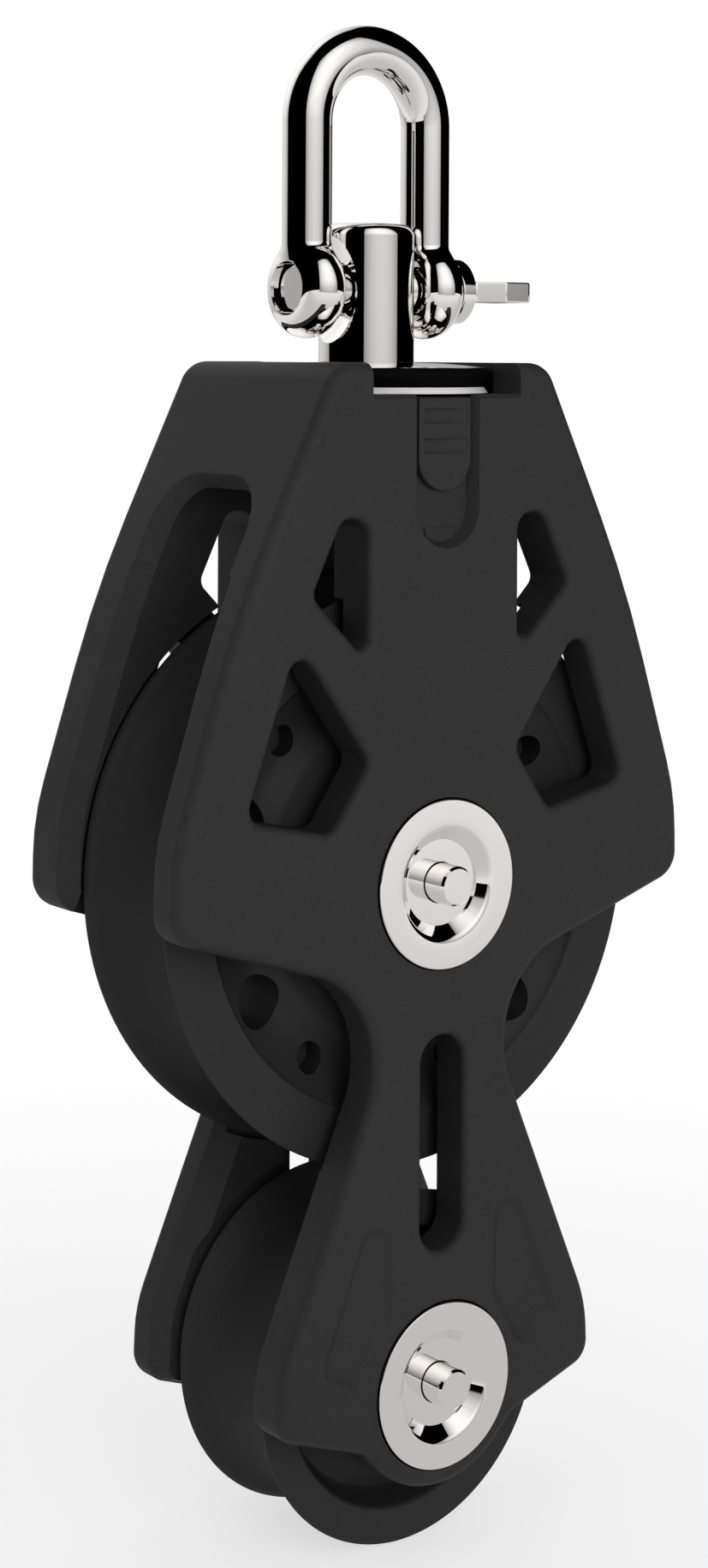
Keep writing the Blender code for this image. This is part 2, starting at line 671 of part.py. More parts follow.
def make_axle(prefix, parent, disc_r):
    """A tube through both cheeks, a dished disc in each counterbore and a pin through all three."""
    end = DISC_BACK_Y - SEAT_GAP
    hole_r = AXLE_PIN_R + TURNED_GAP
    tube = [(hole_r, -end), (AXLE_R, -end), (AXLE_R, end), (hole_r, end)]
    place(lathe(tube, HIDDEN_TURN, "Y"), f"{prefix}_axle", parent, RACE_STEEL)
    dish_y = DISC_FACE_Y - DISC_DISH_DEPTH
    disc = [(hole_r, DISC_BACK_Y), (disc_r, DISC_BACK_Y), (disc_r, DISC_FACE_Y - DISC_EDGE),
            (disc_r - DISC_EDGE, DISC_FACE_Y), (disc_r - DISC_LAND, DISC_FACE_Y),
            (DISC_DISH_R, dish_y), (hole_r, dish_y)]
    for where, sign in (("front", -1), ("rear", 1)):
        turned = lathe([(r, sign * h) for r, h in disc], MEDIUM_TURN, "Y")
        place(turned, f"{prefix}_{where}_axle_disc", parent, STEEL)
    tip = DISC_FACE_Y + AXLE_PIN_PROUD
    small_r = AXLE_PIN_R - AXLE_PIN_CHAMFER
    shoulder = tip - AXLE_PIN_CHAMFER
    pin = [(0, -tip), (small_r, -tip), (AXLE_PIN_R, -shoulder),
           (AXLE_PIN_R, shoulder), (small_r, tip), (0, tip)]
    place(lathe(pin, SMALL_TURN, "Y"), f"{prefix}_axle_pin", parent, STEEL)


def make_head_plate(frame):
    """Waisted steel plate let into the top of the head, flat-sided so that it cannot turn in its pocket."""
    hole_r = POST_R + TURNED_GAP
    waist_r = HEAD_PLATE_R - HEAD_PLATE_WAIST
    lip_z = PLATE_BOTTOM_Z + HEAD_PLATE_LIP_T
    bead_t = PLATE_TOP_Z - lip_z
    bead = [(HEAD_PLATE_R - bead_t * inset, lip_z + bead_t * height) for inset, height in HEAD_PLATE_BEAD_SHARES]
    profile = [(hole_r, PLATE_BOTTOM_Z), (HEAD_PLATE_R - HEAD_PLATE_LIP, PLATE_BOTTOM_Z), (waist_r, lip_z)]
    profile += bead + [(hole_r, PLATE_TOP_Z)]
    plate = place(lathe(profile, LARGE_TURN, "Z"), "head_plate", frame, STEEL)
    far = 2 * HEAD_PLATE_R
    for side, sign in (("left", -1), ("right", 1)):
        span = sorted((sign * HEAD_PLATE_HALF_FLATS, sign * far))
        flat = box(span, (-far, far), (PLATE_BOTTOM_Z - CUT_OVER, PLATE_TOP_Z + CUT_OVER))
        boolean(plate, place(flat, f"cut_{side}_plate_flat", frame), "DIFFERENCE")


def make_swivel(frame):
    """Turned post through the head plate, its flanged bush in the head, and the nut and washer below."""
    edge = POST_TOP_EDGE
    shoulder_z = PLATE_BOTTOM_Z
    profile = [(0, NUT_BOTTOM_Z), (SHANK_R, NUT_BOTTOM_Z), (SHANK_R, shoulder_z), (POST_R, shoulder_z)]
    profile += arc(POST_R - edge, POST_TOP_Z - edge, edge, 0, 90, EDGE_STEPS)
    profile += [(0, POST_TOP_Z)]
    post = place(lathe(profile, POST_TURN, "Z"), "swivel_post", frame, STEEL)
    dish = []
    for k in range(EAR_WELL_STEPS + 1):
        reach = EAR_WELL_REACH * k / EAR_WELL_STEPS
        dish.append((reach, EAR_WELL_FLOOR_X + EAR_WELL_R - math.sqrt(EAR_WELL_R ** 2 - reach ** 2)))
    dish += [(EAR_WELL_REACH, 2 * POST_R), (0, 2 * POST_R)]
    for side, sign in (("left", -1), ("right", 1)):
        well = lathe([(r, sign * x) for r, x in dish], SMALL_TURN, "X")
        boolean(post, place(move(well, z=PIN_Z), f"cut_{side}_ear_well", frame), "DIFFERENCE")
    eye_r = SHACKLE_PIN_R + SEAT_GAP
    eye = [(0, -2 * POST_R), (eye_r, -2 * POST_R), (eye_r, 2 * POST_R), (0, 2 * POST_R)]
    boolean(post, place(move(lathe(eye, SMALL_TURN, "X"), z=PIN_Z), "cut_pin_eye", frame), "DIFFERENCE")

    bush_r = SHANK_HOLE_R + BUSH_WALL
    bush_top = POCKET_FLOOR_Z
    collar_z = bush_top - BUSH_COLLAR_T
    collar_r = bush_r + BUSH_COLLAR
    bush = [(SHANK_HOLE_R, NUT_SEAT_Z), (bush_r, NUT_SEAT_Z), (bush_r, collar_z),
            (collar_r, collar_z), (collar_r, bush_top), (SHANK_HOLE_R, bush_top)]
    place(lathe(bush, SMALL_TURN, "Z"), "swivel_bush", frame, ACETAL)
    low, high = NUT_TOP_Z + SEAT_GAP, NUT_TOP_Z + SEAT_GAP + SWIVEL_WASHER_T
    washer = [(SHANK_HOLE_R, low), (NUT_HALF_FLATS, low), (NUT_HALF_FLATS, high), (SHANK_HOLE_R, high)]
    place(lathe(washer, SMALL_TURN, "Z"), "swivel_washer", frame, STEEL)
    hexagon = circle(NUT_HALF_FLATS / math.cos(math.pi / 6), turn=6)
    nut = place(prism([(hexagon, NUT_BOTTOM_Z), (hexagon, NUT_TOP_Z)], "Z"), "swivel_nut", frame, STEEL)
    low, high = NUT_BOTTOM_Z - CUT_OVER, NUT_TOP_Z + CUT_OVER
    hole = lathe([(0, low), (SHANK_HOLE_R, low), (SHANK_HOLE_R, high), (0, high)], SMALL_TURN, "Z")
    boolean(nut, place(hole, "cut_nut_hole", frame), "DIFFERENCE")


def make_slider(frame):
    """Dovetailed thumb slider with two grip grooves across its face."""
    face_y = -CHEEK_OUTER + SLIDER_BELOW_FACE
    back_y = face_y + SLIDER_T
    front = slider_outline(SLIDER_HALF_WIDTH, SLIDER_ARC_Z, SLIDER_TOP_Z)
    spread = SLIDER_DOVETAIL * SLIDER_T / (SLIDER_T + SLIDER_BELOW_FACE + SEAT_GAP)
    back = slider_outline(SLIDER_HALF_WIDTH + spread, SLIDER_ARC_Z, SLIDER_TOP_Z)
    slider = place(prism([(front, face_y), (back, back_y)]), "lock_slider", frame, PLASTIC)
    for k in range(2):
        high = SLIDER_TOP_Z - GRIP_BELOW_TOP - k * GRIP_PITCH
        depth = (face_y - CUT_OVER, face_y + GRIP_DEPTH)
        groove = box((-GRIP_HALF_WIDTH, GRIP_HALF_WIDTH), depth, (high - GRIP_HEIGHT, high))
        boolean(slider, place(groove, f"cut_grip_{k + 1}", frame), "DIFFERENCE")


def eye_half_thickness(reach):
    """Half the thickness of an ear's full-round eye at a distance from the pin's axis."""
    beyond = max(reach - (EAR_R - BAR_R), 0)
    return math.sqrt(max(BAR_R ** 2 - beyond ** 2, 0))


def ear_loop(half_width, height):
    """A level slice through an ear or its neck, as points about the leg's axis."""
    loop = []
    for k in range(SMALL_TURN):
        angle = 2 * math.pi * k / SMALL_TURN
        across = half_width * math.sin(angle)
        thick = eye_half_thickness(math.hypot(across, height))
        if height > 0:
            thick = max(thick, BAR_R * abs(math.cos(angle)))
        loop.append((math.copysign(thick, math.cos(angle)) - LEG_X, across, PIN_Z + height))
    return loop


def bow_half():
    """Loops along half the bow: full-round ear, neck, leg, half the crown."""
    blend_r = BAR_R + EAR_NECK_R
    blend_h = math.sqrt((EAR_R + EAR_NECK_R) ** 2 - blend_r ** 2)
    top = math.degrees(math.atan2(blend_h, blend_r))
    slices = arc(0, 0, EAR_R, EAR_FOOT_ANGLE, top, EAR_STEPS)
    slices += arc(blend_r, blend_h, EAR_NECK_R, 180 + top, 180, NECK_STEPS)[1:]
    loops = [ear_loop(half_width, height) for half_width, height in slices]
    for k in range(CROWN_STEPS + 1):
        swing = math.pi / 2 * k / CROWN_STEPS
        loop = []
        for i in range(SMALL_TURN):
            angle = 2 * math.pi * i / SMALL_TURN
            out = LEG_X - BAR_R * math.cos(angle)
            loop.append((-out * math.cos(swing), BAR_R * math.sin(angle), BOW_Z + out * math.sin(swing)))
        loops.append(loop)
    return loops


def make_shackle(frame):
    """One bar swept from ear to ear, its ends forged into full-round eyes that are bored for the pin."""
    half = bow_half()
    loops = half + [[(-x, y, z) for x, y, z in loop] for loop in reversed(half[:-1])]
    bm = bmesh.new()
    rows = skin(bm, loops)
    cap(bm, rows[:1])
    cap(bm, rows[-1:])
    bow = place(bm, "shackle_bow", frame, STEEL)
    reach = EAR_OUTER_X + EAR_R
    eye_r = SHACKLE_PIN_R + SEAT_GAP
    eye = [(0, -reach), (eye_r, -reach), (eye_r, reach), (0, reach)]
    boolean(bow, place(move(lathe(eye, SMALL_TURN, "X"), z=PIN_Z), "cut_ear_eyes", frame), "DIFFERENCE")

    collar_x = EAR_OUTER_X + COLLAR_GAP
    cone_x = collar_x + COLLAR_T
    tab_root_r = TAB_T / 2
    end_x = -EAR_OUTER_X + PIN_END_RECESS
    profile = [(0, end_x), (SHACKLE_PIN_R - PIN_END_CHAMFER, end_x),
               (SHACKLE_PIN_R, end_x + PIN_END_CHAMFER), (SHACKLE_PIN_R, collar_x),
               (COLLAR_R, collar_x), (COLLAR_R, cone_x), (COLLAR_R - COLLAR_EDGE, cone_x),
               (tab_root_r, cone_x + COLLAR_CONE), (0, cone_x + COLLAR_CONE)]
    pin = place(lathe(profile, SMALL_TURN, "X"), "shackle_pin", frame, STEEL, (0, 0, PIN_Z))
    root_x = cone_x - TAB_OVERLAP
    tip_x = cone_x + TAB_LENGTH
    stem_x = cone_x + TAB_STEM_LENGTH
    flare_x = stem_x + TAB_FLARE_LENGTH
    left = [(tip_x, TAB_HALF_WIDTH, TAB_END_R), (flare_x, TAB_HALF_WIDTH, TAB_END_R),
            (stem_x, TAB_STEM_HALF_WIDTH, TAB_END_R), (root_x, TAB_STEM_HALF_WIDTH, TAB_ROOT_R)]
    right = [(x, -w, r) for x, w, r in reversed(left)]
    plan = rounded(left + right)
    tab = prism([(plan, PIN_Z - TAB_T / 2), (plan, PIN_Z + TAB_T / 2)], "Z")
    boolean(pin, place(tab, "cut_key_tab", frame), "UNION")
    low, high = PIN_Z - TAB_T, PIN_Z + TAB_T
    key = lathe([(0, low), (TAB_HOLE_R, low), (TAB_HOLE_R, high), (0, high)], SMALL_TURN, "Z")
    hole = move(key, x=tip_x - TAB_HOLE_FROM_TIP)
    boolean(pin, place(hole, "cut_key_hole", frame), "DIFFERENCE")


def main():
    clear_scene()
    frame = empty("block_frame", -CROWN_INSIDE_Z)
    lower = empty("lower_axis", -AXLE_SPACING, frame)
    upper = empty("upper_axis", 0.0, frame)
    make_shackle(frame)
    make_swivel(frame)
    make_head_plate(frame)
    make_shell(frame)
    make_slider(frame)
    upper_sheave = make_sheave("upper_sheave", upper, UPPER_SHEAVE_R, UPPER_GROOVE_DEPTH, UPPER_RIM_FACE,
                               UPPER_BALL_CIRCLE_R, UPPER_BALL_R, LARGE_TURN)
    drill_web(upper_sheave, upper)
    make_sheave("lower_sheave", lower, LOWER_SHEAVE_R, LOWER_GROOVE_DEPTH, LOWER_RIM_FACE,
                LOWER_BALL_CIRCLE_R, LOWER_BALL_R, LOWER_SHEAVE_TURN)
    make_bearing("upper", upper, UPPER_BALL_CIRCLE_R, UPPER_BALL_R, UPPER_BALLS)
    make_bearing("lower", lower, LOWER_BALL_CIRCLE_R, LOWER_BALL_R, LOWER_BALLS)
    make_axle("upper", upper, UPPER_DISC_R)
    make_axle("lower", lower, LOWER_DISC_R)


main()
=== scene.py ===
import math

import bpy
from mathutils import Matrix, Vector


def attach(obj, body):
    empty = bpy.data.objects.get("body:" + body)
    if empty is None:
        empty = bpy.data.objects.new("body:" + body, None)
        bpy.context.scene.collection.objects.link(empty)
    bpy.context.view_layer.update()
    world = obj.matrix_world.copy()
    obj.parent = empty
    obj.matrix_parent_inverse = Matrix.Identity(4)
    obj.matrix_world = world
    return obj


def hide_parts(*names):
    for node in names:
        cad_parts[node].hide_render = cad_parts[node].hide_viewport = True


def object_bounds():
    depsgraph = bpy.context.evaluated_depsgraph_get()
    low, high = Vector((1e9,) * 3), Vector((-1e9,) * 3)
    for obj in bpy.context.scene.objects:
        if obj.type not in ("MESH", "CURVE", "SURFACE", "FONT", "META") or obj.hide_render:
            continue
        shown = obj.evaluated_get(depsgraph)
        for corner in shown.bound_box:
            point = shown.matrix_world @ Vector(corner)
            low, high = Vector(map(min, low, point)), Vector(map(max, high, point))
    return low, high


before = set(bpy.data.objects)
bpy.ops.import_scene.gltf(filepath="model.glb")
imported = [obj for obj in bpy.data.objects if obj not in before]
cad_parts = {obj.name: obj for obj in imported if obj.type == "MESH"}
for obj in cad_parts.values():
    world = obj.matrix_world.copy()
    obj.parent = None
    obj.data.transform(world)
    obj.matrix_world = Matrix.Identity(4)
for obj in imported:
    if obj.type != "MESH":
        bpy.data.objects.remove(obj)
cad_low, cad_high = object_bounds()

# The viewing place: an eye a little below the shackle, to the left of the block's front, looking level.
# The lens is shifted down so that the upright edges stay parallel.
MM = 0.001
DRAWING_ZERO = -83.15
EYE = (-176.10, -231.34, 53.84)
EYE_YAW = math.radians(37.03)
EYE_PITCH = math.radians(0.19)
EYE_ROLL = math.radians(0.298)
LENS = 63.28
SENSOR = 36
LENS_SHIFT = -0.269


def at(x, y, z):
    """A point of the drawing, whose zero is the upper axle's centre, in metres from the shackle's crown."""
    return Vector((x * MM, y * MM, (z + DRAWING_ZERO) * MM))


forward = Vector((math.sin(EYE_YAW) * math.cos(EYE_PITCH), math.cos(EYE_YAW) * math.cos(EYE_PITCH),
                  -math.sin(EYE_PITCH)))
level_right = Vector((math.cos(EYE_YAW), -math.sin(EYE_YAW), 0))
level_up = level_right.cross(forward)
right = level_right * math.cos(EYE_ROLL) + level_up * math.sin(EYE_ROLL)
up = level_up * math.cos(EYE_ROLL) - level_right * math.sin(EYE_ROLL)
bpy.ops.object.camera_add()
camera = bpy.context.object
turn = Matrix((right, up, -forward)).transposed()
camera.matrix_world = Matrix.Translation(at(*EYE)) @ turn.to_4x4()
camera.data.lens = LENS
camera.data.sensor_width = SENSOR
camera.data.shift_y = LENS_SHIFT
camera.data.clip_start = 0.01
camera.data.clip_end = 20
bpy.context.scene.camera = camera


# Shackle bow: one round bar of stainless steel, bent to a bow, each end forged to a full-round eye for an ear.
# The eyes are bored for the pin, and the whole is polished to a mirror.
BAR_R = 2.6
LEG_X = 7.8
PIN_Z = 60.5
BOW_Z = 77.95
EAR_R = 5.15
EAR_NECK_R = 0.8
PIN_HOLE_R = 2.8


def take(*pieces):
    """Select these pieces only, the last one active."""
    if bpy.context.object and bpy.context.object.mode != "OBJECT":
        bpy.ops.object.mode_set(mode="OBJECT")
    bpy.ops.object.select_all(action="DESELECT")
    for piece in pieces:
        piece.select_set(True)
    bpy.context.view_layer.objects.active = pieces[-1]


def arc(cr, ch, radius, first, last, steps):
    """Points of an arc in a profile, from one angle to another in degrees."""
    angles = [math.radians(first + (last - first) * k / steps) for k in range(steps + 1)]
    return [(cr + radius * math.cos(a), ch + radius * math.sin(a)) for a in angles]


def chain(name, points, closed):
    """A ring primitive laid out on a row of points, opened where the row is not closed."""
    bpy.ops.object.select_all(action="DESELECT")
    bpy.ops.mesh.primitive_circle_add(vertices=len(points), radius=MM)
    piece = bpy.context.object
    piece.name = name
    for vertex, point in zip(piece.data.vertices, points):
        vertex.co = point
    bpy.ops.object.mode_set(mode="EDIT")
    bpy.ops.mesh.select_mode(type="EDGE")
    bpy.ops.mesh.select_all(action="DESELECT")
    bpy.ops.object.mode_set(mode="OBJECT")
    if not closed:
        last = {0, len(points) - 1}
        for edge in piece.data.edges:
            edge.select = set(edge.vertices) == last
        bpy.ops.object.mode_set(mode="EDIT")
        bpy.ops.mesh.delete(type="EDGE")
        bpy.ops.object.mode_set(mode="OBJECT")
    return piece


def weld(piece):
    """Merge doubles and turn the faces outwards."""
    take(piece)
    bpy.ops.object.mode_set(mode="EDIT")
    bpy.ops.mesh.select_all(action="SELECT")
    bpy.ops.mesh.remove_doubles(threshold=1e-7)
    bpy.ops.mesh.normals_make_consistent(inside=False)
    bpy.ops.object.mode_set(mode="OBJECT")


def loft(name, stations, plane, capped=True):
    """Lay a ring on the first outline and extrude it through the others. Each has its place along the normal,
    as a number or as a function of the point's height."""
    def spot(u, v, along):
        along = along(v) if callable(along) else along
        if plane == "XZ":
            return at(u, along, v)
        if plane == "YZ":
            return at(along, u, v)
        return at(u, v, along)

    outlines = [[spot(u, v, along) for u, v in outline] for outline, along in stations]
    piece = chain(name, outlines[0], closed=True)
    take(piece)
    bpy.ops.object.mode_set(mode="EDIT")
    bpy.ops.mesh.select_all(action="SELECT")
    if capped:
        bpy.ops.mesh.fill()
        bpy.ops.mesh.select_all(action="SELECT")
        bpy.ops.mesh.region_to_loop()
    for outline in outlines[1:]:
        bpy.ops.mesh.extrude_edges_move()
        bpy.ops.object.mode_set(mode="OBJECT")
        ring = [vertex for vertex in piece.data.vertices if vertex.select]
        for vertex, point in zip(ring, outline):
            vertex.co = point
        bpy.ops.object.mode_set(mode="EDIT")
    if capped:
        bpy.ops.mesh.fill()
    bpy.ops.mesh.select_all(action="SELECT")
    bpy.ops.mesh.normals_make_consistent(inside=False)
    bpy.ops.object.mode_set(mode="OBJECT")
    return piece


def turned(name, profile, axis, steps, centre=(0, 0, 0)):
    """Turn a profile of (radius, height) points about an axis through a point of the drawing."""
    cx, cy, cz = centre
    if axis == "Z":
        points = [at(cx + r, cy, cz + h) for r, h in profile]
        spindle = (0, 0, 1)
    elif axis == "Y":
        points = [at(cx + r, cy + h, cz) for r, h in profile]
        spindle = (0, 1, 0)
    else:
        points = [at(cx + h, cy, cz + r) for r, h in profile]
        spindle = (1, 0, 0)
    piece = chain(name, points, closed=min(r for r, h in profile) > 0)
    take(piece)
    bpy.ops.object.mode_set(mode="EDIT")
    bpy.ops.mesh.select_all(action="SELECT")
    bpy.ops.mesh.spin(steps=steps, angle=2 * math.pi, center=at(*centre), axis=spindle)
    bpy.ops.object.mode_set(mode="OBJECT")
    weld(piece)
    return piece


def work(piece, tool, operation="DIFFERENCE"):
    """Cut or join a piece with a tool, and put the tool away."""
    take(piece)
    change = piece.modifiers.new(operation.lower(), "BOOLEAN")
    change.operation = operation
    change.solver = "EXACT"
    change.object = tool
    bpy.ops.object.modifier_apply(modifier=change.name)
    bpy.data.objects.remove(tool)


def block(name, x, y, z):
    """A cube primitive stretched between limits of the drawing, as a cutting tool."""
    bpy.ops.object.select_all(action="DESELECT")
    low, high = at(x[0], y[0], z[0]), at(x[1], y[1], z[1])
    bpy.ops.mesh.primitive_cube_add(size=1, location=(low + high) / 2, scale=high - low)
    bpy.ops.object.transform_apply(location=True, rotation=True, scale=True)
    tool = bpy.context.object
    tool.name = name
    return tool


def rod(name, radius, axis, ends, centre, steps=64):
    """A plain round cutter along an axis."""
    low, high = ends
    return turned(name, [(0, low), (radius, low), (radius, high), (0, high)], axis, steps, centre)


def smooth(piece, degrees=32):
    """Round shading over curves, flat faces kept flat."""
    take(piece)
    bpy.ops.object.shade_smooth_by_angle(angle=math.radians(degrees))
    level = piece.modifiers.new("flat_faces", "WEIGHTED_NORMAL")
    level.keep_sharp = True
    bpy.ops.object.modifier_apply(modifier=level.name)


def finish_piece(piece, material, body, slot, *nodes):
    """Give a piece its material and the body it rides on, and hide the nodes it stands for; the slot is not
    used.
    """
    piece.data.materials.clear()
    piece.data.materials.append(material)
    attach(piece, body)
    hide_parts(*nodes)


def socket(group, name, kind, way, value=None):
    """A named socket on a shader node group."""
    made = group.interface.new_socket(name=name, in_out=way, socket_type=kind)
    if value is not None:
        made.default_value = value


def wire(tree, *links):
    """Join pairs of sockets in a node tree."""
    for source, target in links:
        tree.links.new(source, target)


def buffing_group():
    """Marks of the buffing wheel: patches and fine streaks that change a polish a little."""
    group = bpy.data.node_groups.new("buffing_marks", "ShaderNodeTree")
    socket(group, "Patch Scale", "NodeSocketFloat", "INPUT", 160.0)
    socket(group, "Dullest", "NodeSocketFloat", "INPUT", 0.09)
    socket(group, "Brightest", "NodeSocketFloat", "INPUT", 0.03)
    socket(group, "Roughness", "NodeSocketFloat", "OUTPUT")
    socket(group, "Height", "NodeSocketFloat", "OUTPUT")
    nodes = group.nodes
    entry, leave = nodes.new("NodeGroupInput"), nodes.new("NodeGroupOutput")
    place = nodes.new("ShaderNodeTexCoord")
    patches = nodes.new("ShaderNodeTexNoise")
    patches.inputs["Detail"].default_value = 3.0
    stretch = nodes.new("ShaderNodeMapping")
    stretch.inputs["Scale"].default_value = (900, 900, 9000)
    streaks = nodes.new("ShaderNodeTexNoise")
    streaks.inputs["Scale"].default_value = 1.0
    streaks.inputs["Detail"].default_value = 2.0
    blend = nodes.new("ShaderNodeMath")
    blend.operation = "MULTIPLY"
    spread = nodes.new("ShaderNodeMapRange")
    spread.inputs["From Min"].default_value = 0.15
    spread.inputs["From Max"].default_value = 0.42
    wire(group, (place.outputs["Object"], patches.inputs["Vector"]),
         (entry.outputs["Patch Scale"], patches.inputs["Scale"]),
         (place.outputs["Object"], stretch.inputs["Vector"]),
         (stretch.outputs["Vector"], streaks.inputs["Vector"]),
         (patches.outputs["Fac"], blend.inputs[0]), (streaks.outputs["Fac"], blend.inputs[1]),
         (blend.outputs["Value"], spread.inputs["Value"]),
         (entry.outputs["Brightest"], spread.inputs["To Min"]),
         (entry.outputs["Dullest"], spread.inputs["To Max"]),
         (spread.outputs["Result"], leave.inputs["Roughness"]),
         (streaks.outputs["Fac"], leave.inputs["Height"]))
    return group


def steel(name, colour, group, dullest, brightest, streak):
    """Stainless steel under a polish."""
    material = bpy.data.materials.new(name)
    material.use_nodes = True
    tree = material.node_tree
    shader = tree.nodes["Principled BSDF"]
    shader.inputs["Base Color"].default_value = (*colour, 1)
    shader.inputs["Metallic"].default_value = 1.0
    marks = tree.nodes.new("ShaderNodeGroup")
    marks.node_tree = group
    marks.inputs["Dullest"].default_value = dullest
    marks.inputs["Brightest"].default_value = brightest
    bump = tree.nodes.new("ShaderNodeBump")
    bump.inputs["Strength"].default_value = streak
    bump.inputs["Distance"].default_value = 0.00001
    wire(tree, (marks.outputs["Roughness"], shader.inputs["Roughness"]),
         (marks.outputs["Height"], bump.inputs["Height"]), (bump.outputs["Normal"], shader.inputs["Normal"]))
    return material


buffing = buffing_group()
mirror_steel = steel("mirror_polished_steel", (0.93, 0.905, 0.885), buffing, 0.05, 0.015, 0.02)


def eye_slice(half_width, height, count=72):
    """A level slice through an ear or the neck above it, as (x, y) points about the leg's axis."""
    points = []
    for k in range(count):
        angle = 2 * math.pi * k / count
        across = half_width * math.sin(angle)
        beyond = max(math.hypot(across, height) - (EAR_R - BAR_R), 0)
        thick = math.sqrt(max(BAR_R ** 2 - beyond ** 2, 0))
        if height > 0:
            thick = max(thick, BAR_R * abs(math.cos(angle)))
        points.append((math.copysign(thick, math.cos(angle)) - LEG_X, across))
    return points


neck_r = BAR_R + EAR_NECK_R
neck_h = math.sqrt((EAR_R + EAR_NECK_R) ** 2 - neck_r ** 2)
neck_angle = math.degrees(math.atan2(neck_h, neck_r))
leg = arc(0, 0, EAR_R, -87, neck_angle, 52) + arc(neck_r, neck_h, EAR_NECK_R, 180 + neck_angle, 180, 8)[1:]
leg += [(BAR_R, h) for h in (7.5, 10.0, 12.5, 15.0, BOW_Z - PIN_Z)]
bow = loft("bow", [(eye_slice(r, h), PIN_Z + h) for r, h in leg], "XY", capped=False)
bow_top = at(0, 0, BOW_Z).z


def pick_ring(piece, height):
    """Select the ring of edges at one height."""
    take(piece)
    bpy.ops.object.mode_set(mode="EDIT")
    bpy.ops.mesh.select_mode(type="EDGE")
    bpy.ops.mesh.select_all(action="DESELECT")
    bpy.ops.object.mode_set(mode="OBJECT")
    for edge in piece.data.edges:
        edge.select = all(abs(piece.data.vertices[i].co.z - height) < 1e-7 for i in edge.vertices)
    bpy.ops.object.mode_set(mode="EDIT")


pick_ring(bow, at(0, 0, PIN_Z + leg[0][1]).z)
bpy.ops.mesh.fill()
pick_ring(bow, bow_top)
bpy.ops.mesh.spin(steps=40, angle=-math.pi / 2, center=at(0, 0, BOW_Z), axis=(0, 1, 0))
bpy.ops.object.mode_set(mode="OBJECT")
other_half = bow.modifiers.new("other_half", "MIRROR")
other_half.merge_threshold = 1e-6
bpy.ops.object.modifier_apply(modifier=other_half.name)
weld(bow)
work(bow, rod("pin_eyes", PIN_HOLE_R, "X", (-16, 16), (0, 0, PIN_Z), 96))
smooth(bow)
finish_piece(bow, mirror_steel, "shackle", "polished_steel", "shackle_bow")


# Shackle pin: a turned stainless pin, screwed through both ears. A collar stops it against the right ear,
# and beyond a short cone a flat tab with a hole takes the key.
PIN_R = 2.5
PIN_END_X = -9.55
COLLAR_X = 10.6
COLLAR_R = 3.5
CONE_X = 12.2
TAB_T = 2.2
TAB_TIP_X = 20.3
TAB_HALF = 3.0
TAB_NECK_HALF = 1.3
TAB_EDGE_R = 0.18
KEY_HOLE_R = 1.3


def polygon(corners, grow=0.0, step=6.0):
    """Points round a polygon of (x, z, radius) corners, rounded, with its sides moved out by grow."""
    count = len(corners)
    lines = []
    for i in range(count):
        (x0, z0, _), (x1, z1, _) = corners[i], corners[(i + 1) % count]
        length = math.hypot(x1 - x0, z1 - z0)
        ux, uz = (x1 - x0) / length, (z1 - z0) / length
        lines.append((x0 + uz * grow, z0 - ux * grow, ux, uz))
    points = []
    for i in range(count):
        ax, az, aux, auz = lines[i - 1]
        bx, bz, bux, buz = lines[i]
        cross = aux * buz - auz * bux
        along = ((bx - ax) * buz - (bz - az) * bux) / cross
        px, pz = ax + aux * along, az + auz * along
        bend = math.atan2(cross, aux * bux + auz * buz)
        side = 1 if bend > 0 else -1
        radius = max(corners[i][2] + side * grow, 0.06)
        reach = radius * math.tan(abs(bend) / 2)
        cx = px - aux * reach - auz * radius * side
        cz = pz - auz * reach + aux * radius * side
        start = math.atan2(pz - auz * reach - cz, px - aux * reach - cx)
        steps = max(3, math.ceil(abs(math.degrees(bend)) / step))
        for k in range(steps + 1):
            angle = start + bend * k / steps
            points.append((cx + radius * math.cos(angle), cz + radius * math.sin(angle)))
    return points


pin_profile = [(0, PIN_END_X), (PIN_R - 0.35, PIN_END_X), (PIN_R, PIN_END_X + 0.35), (PIN_R, COLLAR_X)]
pin_profile += [(COLLAR_R - 0.12, COLLAR_X), (COLLAR_R, COLLAR_X + 0.12), (COLLAR_R, CONE_X - 0.08)]
pin_profile += [(COLLAR_R - 0.08, CONE_X), (COLLAR_R - 0.5, CONE_X), (1.1, CONE_X + 1.8), (0, CONE_X + 1.8)]
pin = turned("pin", pin_profile, "X", 96, (0, 0, PIN_Z))
tab_far = [(TAB_TIP_X, TAB_HALF, 0.4), (CONE_X + 4.6, TAB_HALF, 0.4),
           (CONE_X + 1.8, TAB_NECK_HALF, 0.5), (CONE_X - 0.3, TAB_NECK_HALF, 0.2)]
tab_plan = tab_far + [(x, -w, r) for x, w, r in reversed(tab_far)]
tab_stations = []
tab_edge = ((-TAB_EDGE_R, 0.0), (-TAB_EDGE_R * 0.29, TAB_EDGE_R * 0.29), (0.0, TAB_EDGE_R))
for grow, rise in tab_edge:
    tab_stations.append((polygon(tab_plan, grow), PIN_Z - TAB_T / 2 + rise))
for grow, rise in reversed(tab_edge):
    tab_stations.append((polygon(tab_plan, grow), PIN_Z + TAB_T / 2 - rise))
work(pin, loft("tab", tab_stations, "XY"), "UNION")
work(pin, rod("key_hole", KEY_HOLE_R, "Z", (-3, 3), (TAB_TIP_X - 2.3, 0, PIN_Z), 48))
smooth(pin)
finish_piece(pin, mirror_steel, "shackle", "polished_steel", "shackle_pin")


